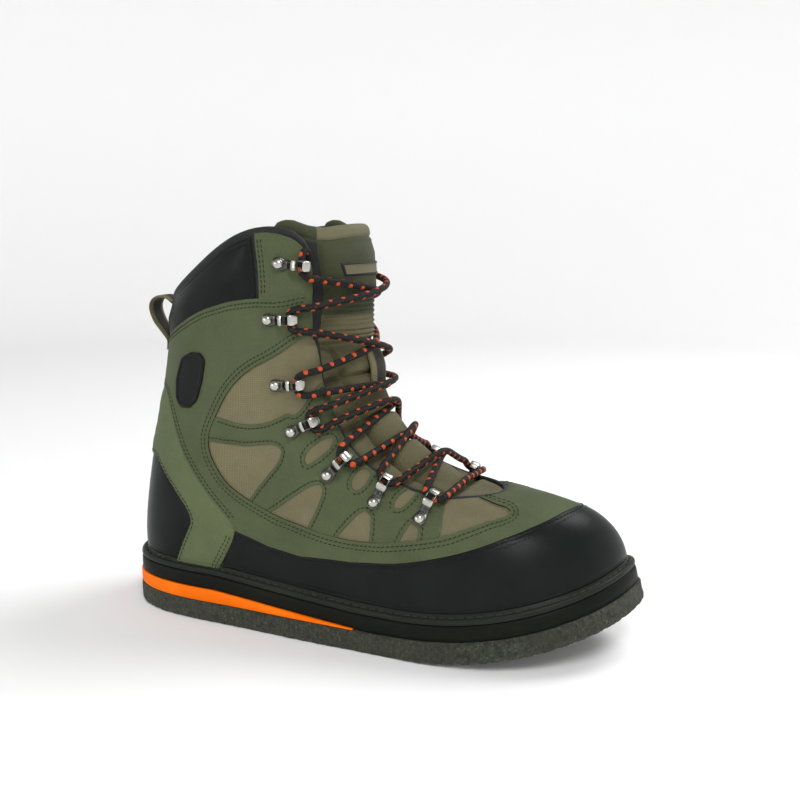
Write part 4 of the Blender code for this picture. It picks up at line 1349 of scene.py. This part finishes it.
# Tongue stations from under the vamp to its top: ridge x and z, wing angle, thickness and lift of the ears
TONGUE = (
    (96.0, 80.5, 34.0, 3.0, 0.0),
    (80.0, 83.0, 44.0, 3.5, 0.0),
    (64.0, 88.5, 56.0, 4.5, 0.0),
    (45.0, 99.5, 64.0, 5.5, 0.0),
    (27.0, 111.0, 68.0, 6.0, 0.0),
    (13.0, 127.0, 68.0, 6.0, 0.0),
    (3.0, 147.0, 66.0, 6.5, 0.0),
    (-1.0, 170.0, 60.0, 7.0, 0.0),
    (-1.5, 195.0, 64.0, 7.5, 0.0),
    (-2.5, 212.0, 78.0, 7.5, 1.0),
    (-3.2, 222.0, 90.0, 7.0, 3.5),
    (-4.5, 230.5, 97.0, 6.0, 8.0),
)
TONGUE_DEPTH = 42.0
TONGUE_CLEAR = 1.0
TONGUE_FLUSH = 1.2
TONGUE_CROWN = 1.3
TONGUE_FALL = 8.0
TONGUE_FREE = 205.0
TONGUE_PARTS = 36
TONGUE_ACROSS = 96
TONGUE_THINNING = 0.5
TONGUE_BLUR = (2.5, 4.5)
THROAT_BLUR = (2.0, 4.5)
TREE_GRID = (300, 41)
EAR_ACROSS = (0.0, 0.40, 0.55, 0.70, 0.80, 0.88, 0.94, 1.0)
EAR_LIFT = (0.0, 0.0, 0.30, 0.85, 1.0, 0.9, 0.4, -0.6)

# The edge of the black gusset: distances down from the tongue's top and shares of the way across
GUSSET_DOWN = (0.0, 14.0, 47.0, 58.0)
GUSSET_ACROSS = (0.48, 0.58, 0.78, 0.84)
GUSSET_COLUMN = 0.75


def upper_tree(offset, top):
    """The upper at an offset, up to a top, as a surface for feeling where it lies."""
    around, up = TREE_GRID
    places, shares = np.meshgrid(np.arange(around) * LOOP / around, np.linspace(0, 1, up), indexing="ij")
    return surface(skin(places, shares * top(places), offset), ring=True)


def blur(values, sigma, axis=0):
    """Values smoothed along one axis of a grid."""
    half = int(math.ceil(3 * sigma))
    weights = np.exp(-0.5 * (np.arange(-half, half + 1) / sigma) ** 2)
    weights /= weights.sum()
    moved = np.moveaxis(values, axis, 0)
    padded = np.concatenate([np.repeat(moved[:1], half, 0), moved, np.repeat(moved[-1:], half, 0)])
    found = sum(weight * padded[n : n + len(moved)] for n, weight in enumerate(weights))
    return np.moveaxis(found, 0, axis)


def radii_to(tree, centre, ways):
    hits = [tree.ray_cast(Vector(centre), Vector(way)) for way in ways]
    return np.array([np.nan if hit[0] is None else hit[3] for hit in hits])


def gusset(down):
    return np.interp(down, GUSSET_DOWN, GUSSET_ACROSS)


def stretched(share, knee, to):
    """Shares of the way to each side, with one of them moved and the rest following."""
    side = np.abs(share)
    beyond = to + (side - knee) * (1 - to) / (1 - knee)
    return np.sign(share) * np.where(side <= knee, side * to / knee, beyond)


class Tongue:
    """The tongue's outer face by station and across: points, ways out, how open the throat is there."""

    def __init__(self):
        lining = upper_tree(-WALL, edge_height)
        last = upper_tree(0.0, np.ones_like)
        table = through(TONGUE, TONGUE_PARTS)
        self.down = run_of(table[::-1, :2])[::-1]
        columns = np.linspace(-1, 1, TONGUE_ACROSS + 1)
        self.across = stretched(columns, GUSSET_COLUMN, gusset(self.down)[:, None])
        low = TONGUE_DEPTH - TONGUE_FALL
        before = np.inf
        rows = []
        for number, (x, z, wing, thickness, ear) in enumerate(table):
            shares = self.across[number]
            run = table[min(number + 1, len(table) - 1)] - table[max(number - 1, 0)]
            along = unit(np.array((run[0], 0, run[1])))
            forward = np.array((along[2], 0, -along[0]))
            centre = np.array((x, 0, z)) - forward * TONGUE_DEPTH
            angles = np.radians(shares * wing)[:, None]
            fan = np.cos(angles) * forward + np.sin(angles) * np.array((0.0, 1.0, 0.0))
            under = radii_to(lining, centre, fan) - TONGUE_CLEAR
            found = np.where(np.isnan(under), radii_to(last, centre, fan) - TONGUE_FLUSH, under)
            gap = np.flatnonzero(np.isnan(found))
            if len(gap):
                left = found[gap[0] - 1] if gap[0] > 0 else low
                right = found[gap[-1] + 1] if gap[-1] < len(found) - 1 else low
                share = (np.arange(len(gap)) + 1) / (len(gap) + 1)
                crown = max(TONGUE_DEPTH - (left + right) / 2, 0)
                found[gap] = left + (right - left) * share + crown * np.sin(np.pi * share) ** TONGUE_CROWN
            if z > TONGUE_FREE:
                found = np.minimum(found, before)
            before = found
            raised = ear * np.interp(np.abs(shares), EAR_ACROSS, EAR_LIFT)
            rows.append((centre, fan, found, under, raised, thickness * (1 - TONGUE_THINNING * shares**2)))
        centres, self.ways, radii, limits, raised, self.thick = (np.array(column) for column in zip(*rows))
        hidden = np.isnan(limits)
        self.open = blur(blur(hidden.astype(float), THROAT_BLUR[0], 1), THROAT_BLUR[1])
        radii = blur(blur(radii, TONGUE_BLUR[0], 1), TONGUE_BLUR[1])
        self.radii = np.where(hidden, radii, np.minimum(radii, limits))
        self.centres = centres[:, None] + raised[..., None] * np.array((0.0, 0.0, 1.0))

    def face(self, rise):
        return self.centres + self.ways * (self.radii + rise)[..., None]


TONGUE_BASE = Tongue()

# Quilting of the tongue: distances down from its top, and shares of the way across to each side
RIM_SEAM = 3.6
RIM_SEAM_DEPTH = 0.9
RIM_SEAM_WIDTH = 0.9
TOP_PAD = (13, 31, 6)
TOP_PAD_RISE = 1.3
TOP_PAD_SQUARE = 6
GUSSET_SEAM = (8, 57, 2)
GUSSET_SEAM_DEPTH = 0.8
GUSSET_SEAM_WIDTH = 0.03
GUSSET_FROM = 5
RIBBED = (36.0, 58.0, 1)
RIB_PITCH = 2.75
RIB_DEPTH = 0.9
TAN_FROM = 46.5
BLOCK_ROWS = (61.0, 79.5, 103.0, 122.5, 140.5, 166.0)
BLOCKED = (62.0, 166.0, 3)
BLOCK_EDGE = 0.96
BLOCK_SQUARE = 4
SEAM_DOWN = (60.0, 75.0, 90.0, 120.0, 145.0, 165.0)
SEAM_ACROSS = (0.72, 0.52, 0.43, 0.42, 0.48, 0.50)
ACROSS_MM = 46.0
CLOTH_ACROSS = 50
VALLEY = 2.4
VALLEY_WIDTH = 1.7
CROWN = 2.0
BLOCK_DROP = 1.2
OPEN_FADE = 1.5
UNDER_FROM = 25
UNDER_DROP = 0.4
LINING_DROP = 1.5
TURN_STEPS = 7
TONGUE_SHARP = 1.2
OLIVE, TAN_MESH, BLACK, PALE = range(4)


def bump_in(value, low, high, soft):
    """One between low and high, fading to nothing over soft millimetres outside."""
    return np.clip((value - low) / soft + 1, 0, 1) * np.clip((high - value) / soft + 1, 0, 1)


def blocks(down, side):
    """The padded blocks: crowned between a seam down each side and seams across."""
    seam_at = np.interp(down, SEAM_DOWN, SEAM_ACROSS)
    to_row = np.min([np.abs(down - row) for row in BLOCK_ROWS], axis=0)
    to_seam = np.abs(side - seam_at) * ACROSS_MM
    row = np.interp(down, BLOCK_ROWS, np.arange(len(BLOCK_ROWS))) % 1
    column = np.where(side < seam_at, side / seam_at, 2 * (side - seam_at) / (BLOCK_EDGE - seam_at) - 1)
    crown = np.clip(1 - (2 * row - 1) ** BLOCK_SQUARE, 0, 1) * np.clip(1 - column**BLOCK_SQUARE, 0, 1)
    return CROWN * crown - VALLEY * bell(np.minimum(to_row, to_seam), VALLEY_WIDTH) - BLOCK_DROP


def tongue_relief(down, across):
    """How far the quilting stands off the tongue."""
    side = np.abs(across)
    edge = gusset(down)
    rise = -RIM_SEAM_DEPTH * bell(down - RIM_SEAM, RIM_SEAM_WIDTH)
    rise += TOP_PAD_RISE * bump_in(down, *TOP_PAD) * np.clip(1 - (side / edge) ** TOP_PAD_SQUARE, 0, 1)
    rise -= GUSSET_SEAM_DEPTH * bell(side - edge, GUSSET_SEAM_WIDTH) * bump_in(down, *GUSSET_SEAM)
    ribs = 0.5 + 0.5 * np.cos(math.tau * (down - RIBBED[0]) / RIB_PITCH)
    rise -= RIB_DEPTH * ribs**2 * bump_in(down, *RIBBED) * (side < edge)
    return rise + blocks(down, side) * bump_in(down, *BLOCKED)


def tongue_kind(down, column):
    """Which cloth a spot of the tongue is made of."""
    side = np.abs(column)
    kind = np.where(down > TAN_FROM, TAN_MESH, OLIVE)
    kind = np.where((side > GUSSET_COLUMN) & (down > GUSSET_FROM) & (down < GUSSET_DOWN[-1]), BLACK, kind)
    return np.where((down < RIM_SEAM) & (side < GUSSET_COLUMN), PALE, kind)


def make_tongue():
    """The padded tongue with its rolled top, as one closed shell; returns its outer face."""
    base = TONGUE_BASE
    columns_at = np.linspace(-1, 1, TONGUE_ACROSS + 1)
    down = np.broadcast_to(base.down[:, None], base.across.shape)
    fade = np.clip(1 - OPEN_FADE * (1 - base.open), 0, 1)
    rise = tongue_relief(down, base.across) * np.where(down < UNDER_FROM, 1.0, fade)
    outer = base.face(rise - (1 - fade) * UNDER_DROP)
    inner = base.face(-base.thick - LINING_DROP)
    middle = (outer[-1] + inner[-1]) / 2
    half = (outer[-1] - inner[-1]) / 2
    upward = unit(outer[-1] - outer[-3]) * np.linalg.norm(half, axis=1)[:, None]
    turns = np.linspace(0, math.pi, TURN_STEPS + 2)[1:-1]
    roll = np.array([middle + half * math.cos(a) + upward * math.sin(a) for a in turns])
    points = np.concatenate([outer, roll, inner[::-1]])
    rows, columns = points.shape[:2]
    stations = len(outer)
    middles = (columns_at[:-1] + columns_at[1:]) / 2
    kinds = tongue_kind(((base.down[:-1] + base.down[1:]) / 2)[:, None], middles)
    over = np.tile(np.where(np.abs(middles) < GUSSET_COLUMN, PALE, OLIVE), (TURN_STEPS + 1, 1))
    kinds = [*kinds.ravel(), *over.ravel()]
    faces = grid_faces(rows, columns)
    for row in range(stations - 1):
        for column in (0, columns - 1):
            a = row * columns + column
            c = (rows - 1 - row) * columns + column
            side = (a, a + columns, c - columns, c)
            faces.append(side if column else side[::-1])
    last = (rows - 1) * columns
    faces += [(n, n + 1, last + n + 1, last + n) for n in range(columns - 1)]
    kinds += [BLACK] * (len(faces) - len(kinds))
    cloth = np.stack([base.across * CLOTH_ACROSS, down], -1)
    cloth = np.concatenate([cloth, np.repeat(cloth[-1:], TURN_STEPS, 0), cloth[::-1]])
    looks = [TONGUE_CLOTH, TONGUE_TAN, BLACK_PAD, TONGUE_ROLL]
    faces = [face[::-1] for face in faces]
    made = add_mesh("tongue_pad", points, faces, looks, ("tongue",), "quilt", cloth, kinds, TONGUE_SHARP)
    return outer


def lay(face, down, across, lift):
    """Points off a face of the tongue by lift, at distances down it and shares of the way across."""
    row = np.interp(down, TONGUE_BASE.down[::-1], np.arange(len(face)))
    column = (stretched(across, gusset(down), GUSSET_COLUMN) + 1) / 2 * TONGUE_ACROSS
    r = np.clip(row.astype(int), 0, len(face) - 2)
    c = np.clip(column.astype(int), 0, TONGUE_ACROSS - 1)
    fr = (row - r)[..., None]
    fc = (column - c)[..., None]
    found = []
    for grid in (face[::-1], TONGUE_BASE.ways[::-1]):
        low = grid[r, c] * (1 - fc) + grid[r, c + 1] * fc
        high = grid[r + 1, c] * (1 - fc) + grid[r + 1, c + 1] * fc
        found.append(low * (1 - fr) + high * fr)
    return found[0] + unit(found[1]) * lift[..., None]


# The plain label on the tongue, and the webbing that keeps the lace in the middle
LABEL_DOWN = 17.5
LABEL_SIZE = (7.5, 42.0)
LABEL_ACROSS = 0.40
LABEL_BORDER = 1.3
LABEL_LINES = (0.0, 0.25, 0.6, LABEL_BORDER, LABEL_BORDER + 0.4)
LABEL_PARTS = 24
LABEL_SEAT = 0.15
LABEL_RISE = 0.9
LABEL_HOLLOW = 0.45
KEEPER_DOWN = (65.5, 88.0)
KEEPER_GRID = (40, 13)
KEEPER_ACROSS = 0.19
KEEPER_SEAT = 0.9
KEEPER_LIFT = 2.4
KEEPER_BOW = 1.2
KEEPER_THICK = 1.2
KEEPER_CLOTH = 22


def label_lines(size):
    """Lines of a label's grid from edge to edge, with two of them where its border ends."""
    border = np.array(LABEL_LINES)
    between = np.linspace(border[-1], size - border[-1], LABEL_PARTS)[1:-1]
    return np.concatenate([border, between, size - border[::-1]])


def make_label(face):
    """A plain label with a raised border."""
    tall, wide = LABEL_SIZE
    y, x = np.meshgrid(label_lines(tall), label_lines(wide), indexing="ij")
    edge = np.minimum(np.minimum(y, tall - y), np.minimum(x, wide - x))
    lift = LABEL_SEAT + LABEL_RISE * np.clip(edge / LABEL_LINES[2], 0, 1) ** 0.5
    lift -= LABEL_HOLLOW * np.clip((edge - LABEL_BORDER) / (LABEL_LINES[4] - LABEL_BORDER), 0, 1)
    middles = (edge[:-1, :-1] + edge[1:, :-1] + edge[:-1, 1:] + edge[1:, 1:]) / 4
    kinds = (middles > LABEL_BORDER).astype(int).ravel()
    points = lay(face, LABEL_DOWN + y, (x / wide * 2 - 1) * LABEL_ACROSS, lift)
    looks = [BLACK_PAD, TONGUE_ROLL]
    add_mesh("tongue_label", points, grid_faces(*x.shape), looks, (), "quilt", np.stack([x, y], -1), kinds)


def make_keeper(face):
    """The webbing on the tongue under the lace; returns its top."""
    rows, columns = KEEPER_GRID
    v, w = np.meshgrid(np.linspace(0, 1, rows), np.linspace(-1, 1, columns), indexing="ij")
    down = KEEPER_DOWN[0] + (KEEPER_DOWN[1] - KEEPER_DOWN[0]) * v
    lift = KEEPER_SEAT + KEEPER_LIFT * np.sin(np.pi * v) ** KEEPER_BOW
    top = lay(face, down, w * KEEPER_ACROSS, lift + KEEPER_THICK)
    low = lay(face, down, w * KEEPER_ACROSS, lift)
    points = np.concatenate([top, low[:, ::-1]], 1)
    cloth = np.stack([v * KEEPER_CLOTH, w / 2 + 0.5], -1)
    cloth = np.concatenate([cloth, cloth[:, ::-1]], 1)
    faces = grid_faces(*points.shape[:2], tube=True)
    add_mesh("tongue_keeper", points, faces, [WEBBING], (), "webbing", cloth)
    return top


# Hooks: places and heights of the rivet and of the ring
HOOKS = (
    (9.79, 0.581, 10.09, 0.659),
    (8.65, 0.555, 9.14, 0.656),
    (6.79, 0.487, 7.60, 0.599),
    (5.06, 0.504, 5.89, 0.554),
    (4.27, 0.608, 5.10, 0.621),
    (3.91, 0.766, 4.63, 0.772),
    (4.20, 0.905, 5.03, 0.924),
)
OPEN_HOOKS_FROM = 4
HOOK_LIFT = 0.9
# Steel strips of a hook: distance towards the throat, height, half width, half thickness
HOOK_LEG = (
    (-11.3, 1.1, 1.2, 0.35), (-10.6, 1.2, 2.6, 0.5), (-9.2, 1.2, 3.4, 0.5), (-7.6, 1.2, 3.6, 0.5),
    (-6.0, 1.2, 3.3, 0.5), (-4.4, 1.2, 2.8, 0.5), (-3.0, 1.5, 2.6, 0.55), (-1.8, 2.5, 2.6, 0.6),
    (-0.6, 4.0, 2.8, 0.65), (0.3, 5.2, 2.8, 0.6),
)
HOOK_BAR = ((-0.2, 4.7, 2.9, 0.7), (0.6, 5.7, 3.1, 0.8), (1.6, 6.5, 3.1, 0.85), (2.6, 6.9, 3.0, 0.75))
HOOK_RAIL = (
    (1.6, 6.5, 0.5, 0.6), (2.8, 6.9, 0.5, 0.65), (4.6, 7.0, 0.5, 0.65), (6.2, 6.9, 0.5, 0.65),
    (7.4, 6.4, 0.5, 0.6),
)
HOOK_NOSE = (
    (6.2, 6.8, 2.9, 0.7), (7.4, 6.5, 3.0, 0.8), (8.5, 5.7, 3.0, 0.8), (9.3, 4.6, 2.9, 0.8),
    (9.8, 3.3, 2.7, 0.7), (10.0, 2.6, 2.3, 0.5), (10.1, 1.6, 2.3, 0.7), (10.1, 0.4, 2.2, 0.6),
)
OPEN_NOSE = 6
RAIL_SIDE = 2.45
RAIL_SIDES = 10
STRIP_SIDES = 14
STRIP_PARTS = 4
STRIP_SQUARE = 0.55
RIVET_AT = -7.8
RIVET = ((3.0, 1.2), (3.0, 2.0), (2.85, 2.6), (2.4, 3.3), (1.7, 3.8), (0.9, 4.1), (0.01, 4.2))
RIVET_SIDES = 20
HOOK_SHARP = 0.9


def hook_frame(number, inner_side):
    """Where a hook stands: its point on the upper, then the ways to the throat, up the boot and out."""
    rivet, ring = np.array(HOOKS[number]).reshape(2, 2)
    if inner_side:
        rivet, ring = mirrored(np.array((rivet, ring)))
    middle = (rivet + ring) / 2
    out = outward(*middle)
    toward = rib_points(*ring) - rib_points(*rivet)
    toward = unit(toward - out * toward.dot(out))
    upward = np.cross(toward, out) if inner_side else np.cross(out, toward)
    return rib_points(*middle) + out * HOOK_LIFT, toward, upward, out


def squared(values):
    return np.sign(values) * np.abs(values) ** STRIP_SQUARE


def strip(mesh, frame_of, rows, aside=0.0, sides=STRIP_SIDES, kind=0):
    """A rounded strip of metal bent along rows of distance, height, half width and half thickness."""
    point, toward, upward, out = frame_of
    rows = through(rows, STRIP_PARTS)
    turns = np.arange(sides) * math.tau / sides
    wide = squared(np.cos(turns))[:, None]
    deep = squared(np.sin(turns))[:, None]
    points = []
    for (d, n, half, thick), run in zip(rows, unit(np.gradient(rows[:, :2], axis=0))):
        across = run[0] * out - run[1] * toward
        centre = point + d * toward + n * out + aside * upward
        points.append(centre + upward * wide * half + across * deep * thick)
    faces = grid_faces(len(rows), sides, tube=True) + end_faces(len(rows), sides)
    mesh.add(points, faces, kind=kind, flip=np.dot(np.cross(toward, upward), out) < 0)


def turned(mesh, centre, along, out, profile, sides, kind=0):
    """A turned shape: radius and height along out."""
    turns = np.linspace(0, math.tau, sides + 1)[:, None]
    ring = np.cos(turns) * along + np.sin(turns) * np.cross(out, along)
    points = [centre + ring * radius + out * height for radius, height in profile]
    mesh.add(points, grid_faces(len(profile), sides + 1), kind=kind, flip=True)


def make_hooks():
    for inner_side in (False, True):
        for number in range(len(HOOKS)):
            around = hook_frame(number, inner_side)
            point, toward, _, out = around
            mesh = Mesh()
            # Leg and rails take the second look, steel painted dark as a reflection; bar, nose and rivet
            # stay bright.
            strip(mesh, around, HOOK_LEG, kind=1)
            for side in (-RAIL_SIDE, RAIL_SIDE):
                strip(mesh, around, HOOK_RAIL, side, RAIL_SIDES, kind=1)
            strip(mesh, around, HOOK_BAR)
            strip(mesh, around, HOOK_NOSE if number < OPEN_HOOKS_FROM else HOOK_NOSE[:OPEN_NOSE])
            turned(mesh, point + toward * RIVET_AT, toward, out, RIVET, RIVET_SIDES)
            name = "%s_%d" % ("medial" if inner_side else "lateral", number + 1)
            options = {"replaced": ("hook_" + name,), "slot": "steel", "sharp": HOOK_SHARP}
            mesh.build("steel_hook_" + name, [STEEL, DARK_REFLECTION_STEEL], **options)


# Lace: its turn round a hook as distance towards the throat and way up, then its run between hooks
LACE_RADIUS = 2.0
LACE_LIFT = 3.3
LACE_TURN = ((9.8, -6.0), (7.8, -5.2), (5.0, -2.8), (5.0, 2.8), (7.8, 5.2), (9.8, 6.0))
LACE_STEPS = 14
LACE_PULLS = 200
LACE_CLEAR = LACE_RADIUS + 0.7
LACE_OVER = 3.9
LACE_HUMP = 1.6
LACE_AXIS = 30.0
LACE_SIGHT = 150.0
LACE_SIDES = 12
LACE_PARTS = 6
LACE_BLUR = 3.0
LACE_TAPER = (3, 0.3)
LACE_ASIDE = (0.3, 0.5, 0.8)
# Its tucked end above the top hook, as places, heights and offsets from the upper
LACE_END = (
    (5.45, 0.905, -7.5), (5.42, 0.95, -3.5), (5.36, 0.985, 2.0), (5.12, 0.988, 3.6),
    (4.98, 0.962, 4.2),
)


def lace_span(trees, axis, start, end, heights):
    """Points of the lace drawn tight between two hooks, over the tongue and the upper."""
    ways = start + (end - start) * np.linspace(0, 1, len(heights))[:, None] - axis
    radii = np.linalg.norm(ways, axis=1)
    ways /= radii[:, None]
    for number, way in enumerate(ways):
        for tree in trees:
            hit = tree.ray_cast(Vector(axis + way * LACE_SIGHT), Vector(-way))
            if hit[0] is not None:
                radii[number] = max(radii[number], LACE_SIGHT - hit[3] + heights[number])
    tight = radii.copy()
    for _ in range(LACE_PULLS):
        points = ways * tight[:, None]
        between = np.sum((points[:-2] + points[2:]) / 2 * ways[1:-1], 1)
        tight[1:-1] = np.maximum(radii[1:-1], between)
    return list(axis + ways * tight[:, None])


def lace_tube(points):
    """A round cord along points; cloth x runs along it in millimetres and y round it from 0 to 1."""
    way = unit(np.gradient(points, axis=0))
    sides = [np.cross(way[0], LACE_ASIDE)]
    for step in way:
        sides.append(unit(sides[-1] - step * sides[-1].dot(step)))
    side = np.array(sides[1:])
    turns = np.linspace(0, math.tau, LACE_SIDES + 1)
    cord = rings(points, side, np.cross(way, side), LACE_RADIUS * tapered(len(points), *LACE_TAPER), turns)
    cloth = np.stack(np.broadcast_arrays(run_of(points)[:, None], turns / math.tau), -1)
    mesh = Mesh()
    mesh.add(cord, grid_faces(*cord.shape[:2]) + end_faces(*cord.shape[:2]), cloth, flip=True)
    mesh.build("lace_cord", [LACE_LOOK], replaced=("lace",), slot="cord")


def lace_end(inner_side):
    places, heights, offsets = np.array(LACE_END).T
    return list(skin(LOOP - places if inner_side else places, heights, offsets))


def make_lace(*grids):
    """The lace over the upper and over grids of points in front of it."""
    trees = [upper_tree(2 * LAYER, edge_height), *(surface(grid) for grid in grids)]
    top = len(HOOKS) - 1
    route = [(number, number % 2 == 1) for number in range(top, -1, -1)]
    route += [(number, number % 2 == 0) for number in range(top + 1)]
    hump = np.clip(LACE_HUMP * np.sin(np.pi * np.linspace(0, 1, LACE_STEPS + 1)), 0, 1)
    points = lace_end(False)
    facing = None
    for step, (number, inner_side) in enumerate(route):
        point, toward, upward, out = hook_frame(number, inner_side)
        turn = [point + toward * d + upward * s + out * LACE_LIFT for d, s in LACE_TURN]
        if step <= top:
            turn = turn[::-1]
        if step == 0:
            turn = turn[2:]
        else:
            start = points.pop()
            axis = (start + turn[0]) / 2 - unit(facing + out + toward) * LACE_AXIS
            rise = LACE_OVER if step > top + 1 else 0.0
            points += lace_span(trees, axis, start, turn[0], LACE_CLEAR + rise * hump)
            turn = turn[1:]
        points += turn[:-2] if step == len(route) - 1 else turn
        facing = out + toward
    points += lace_end(True)[::-1]
    lace_tube(blur(through(points, LACE_PARTS), LACE_BLUR))


# Pull loop: distance back from the collar's rear edge and height over it
PULL_LOOP = (
    (1.4, -1.5), (5.5, 1.2), (11.0, 1.8), (15.8, -0.4), (17.6, -5.5), (15.0, -13.0), (9.6, -19.5),
    (5.7, -24.2), (5.4, -27.0), (5.8, -30.5),
)
PULL_WIDTH = 14.0
PULL_THICK = 1.8
PULL_PARTS = 8
PULL_ACROSS = 15
PULL_EDGE = (1.05, 8, 0.25)
# The sewn square at its lower end: rows of the loop and half width
PULL_TACK = (-17, -3)
PULL_TACK_WIDTH = 4.4


def make_pull_loop(threads):
    """The webbing loop behind the collar, sewn down at its lower end."""
    rear = rib_points(0.0, 1.0)
    rows = through([(rear[0] - back, 0.0, rear[2] + up) for back, up in PULL_LOOP], PULL_PARTS)
    runs = unit(np.gradient(rows, axis=0))
    out = np.stack([runs[:, 2], runs[:, 1], -runs[:, 0]], -1)
    across = np.linspace(-1, 1, PULL_ACROSS)
    full, square, least = PULL_EDGE
    thick = PULL_THICK / 2 * np.clip(full - np.abs(across) ** square, least, 1)
    flat = rows[:, None] + across[:, None] * np.array((0.0, PULL_WIDTH / 2, 0.0))
    swell = out[:, None] * thick[:, None]
    points = np.concatenate([flat - swell, (flat + swell)[:, ::-1]], 1)
    over = np.concatenate([across, across[::-1]]) / 2 + 0.5
    cloth = np.stack(np.broadcast_arrays(run_of(rows)[:, None], over), -1)
    faces = grid_faces(*points.shape[:2], tube=True)
    add_mesh("pull_webbing", points, faces, [WEBBING], ("pull_loop",), "webbing", cloth)
    face = rows + out * PULL_THICK / 2
    aside = np.array((0.0, PULL_TACK_WIDTH, 0.0))
    for way in (-aside, aside):
        stitches(threads, face[slice(*PULL_TACK)] + way, out[slice(*PULL_TACK)])
    for row in PULL_TACK:
        ends = np.array([face[row] - aside, face[row] + aside])
        stitches(threads, ends, np.tile(out[row], (2, 1)))


# Drain grommets: place and distance up from the feather line; ring and hole as radii and heights
GROMMETS = ((21.6, 13.0), (22.9, 13.0))
GROMMET_RING = ((2.4, -0.6), (2.5, 0.9), (3.0, 1.5), (3.8, 1.6), (4.6, 1.1), (5.0, 0.2), (5.0, -0.4))
GROMMET_HOLE = ((2.6, 0.15), (0.01, 0.1))
GROMMET_LIFT = 2.2
GROMMET_SIDES = 28


def make_grommets():
    for number, (place, distance) in enumerate(GROMMETS):
        spot = (np.float64(place), np.float64(reach(place, distance)))
        out = outward(*spot)
        around = (skin(*spot, GROMMET_LIFT), unit(np.cross(out, (0.0, 0.0, 1.0))), out)
        mesh = Mesh()
        turned(mesh, *around, GROMMET_RING, GROMMET_SIDES)
        turned(mesh, *around, GROMMET_HOLE, GROMMET_SIDES, kind=1)
        name = "grommet_%d" % (number + 1)
        mesh.build(name, [STEEL, LINING], replaced=("drain_" + name,), slot="steel")


# A plain rubber patch behind the ankle and its raised edge
PATCH = (
    (184, 358), (193, 352), (203, 353), (207, 361), (204, 380), (198, 400), (191, 408), (182, 407),
    (178, 399), (179, 378),
)
PATCH_RIM = 2.4
PATCH_THICK = 0.9
PATCH_LIFT = 2 * LAYER - 0.2
PATCH_RIM_LIFT = 2 * LAYER + 0.4


def make_patch():
    """A bare rubber patch with a raised edge on each side of the shaft."""
    outline = window(PATCH)
    mesh = Mesh()
    panel(mesh, [outline], PATCH_LIFT, PATCH_THICK, groove=0.0)
    rim = shifted(outline, -PATCH_RIM, closed=True)
    panel(mesh, [outline, rim], PATCH_RIM_LIFT, PATCH_THICK, groove=0.0)
    mesh.build("side_patch", [PATCH_LOOK, CUT_EDGE_AND_GAP_SHADE], slot="black_rubber")


# Stage and light, in metres: the floor's profile, then each light's name, place, size and watts
FLOOR_RADIUS = 1.5
FLOOR_SWEEP = 0.5
FLOOR_SWEEP_STEPS = 8
FLOOR_HEIGHT = 1.1
FLOOR_AROUND = 64
FLOOR_COLOUR = (0.95, 0.95, 0.95, 1.0)
LIGHT_AIM = Vector((0, 0, 0.1))
LIGHTS = (
    ("key", (0.7, -1.2, 1.5), 0.7, 18.5),
    ("side", (-1.1, -1.3, 0.5), 0.5, 4.5),
    ("top", (0.7, 0.8, 1.45), 1.0, 17),
)
SKY = 0.36


def make_stage():
    """A pale floor that sweeps up into the background."""
    profile = [(0.0, 0.0)]
    for angle in np.linspace(0, math.pi / 2, FLOOR_SWEEP_STEPS + 1):
        sweep = (math.sin(angle), 1 - math.cos(angle))
        profile.append((FLOOR_RADIUS + FLOOR_SWEEP * sweep[0], FLOOR_SWEEP * sweep[1]))
    profile.append((FLOOR_RADIUS + FLOOR_SWEEP, FLOOR_HEIGHT))
    turns = np.arange(FLOOR_AROUND) * math.tau / FLOOR_AROUND
    points = [(r * math.cos(a), r * math.sin(a), height) for r, height in profile for a in turns]
    data = bpy.data.meshes.new("floor")
    data.from_pydata(points, [], [face[::-1] for face in grid_faces(len(profile), FLOOR_AROUND, tube=True)])
    data.shade_smooth()
    data.materials.append(Look("floor", FLOOR_COLOUR, 0.9).material)
    floor = bpy.data.objects.new("floor", data)
    bpy.context.scene.collection.objects.link(floor)


def make_light():
    world = bpy.data.worlds.new("studio")
    world.use_nodes = True
    sky = world.node_tree.nodes["Background"].inputs
    sky["Color"].default_value = (1.0, 1.0, 1.0, 1.0)
    sky["Strength"].default_value = SKY
    bpy.context.scene.world = world
    for name, place, size, watts in LIGHTS:
        data = bpy.data.lights.new(name, "AREA")
        data.shape = "DISK"
        data.size = size
        data.energy = watts
        light = bpy.data.objects.new(name, data)
        light.location = place
        light.rotation_euler = (LIGHT_AIM - Vector(place)).to_track_quat("-Z", "Y").to_euler()
        bpy.context.scene.collection.objects.link(light)
    bpy.context.scene.view_settings.view_transform = "Standard"


add_camera()
threads = Mesh()
dark_threads = Mesh()
make_upper()
make_cage(threads)
make_band(threads)
make_heel_piece(threads)
make_rands(dark_threads)
make_collar(threads)
make_rolls()
make_welt()
make_sole()
make_insole()
tongue_outer = make_tongue()
make_label(tongue_outer)
keeper_top = make_keeper(TONGUE_BASE.face(0.0))
make_hooks()
make_lace(tongue_outer, keeper_top)
make_pull_loop(dark_threads)
make_grommets()
make_patch()
threads.build("threads", [THREAD], slot="canvas")
dark_threads.build("dark_threads", [DARK_THREAD], slot="rand")
make_stage()
make_light()
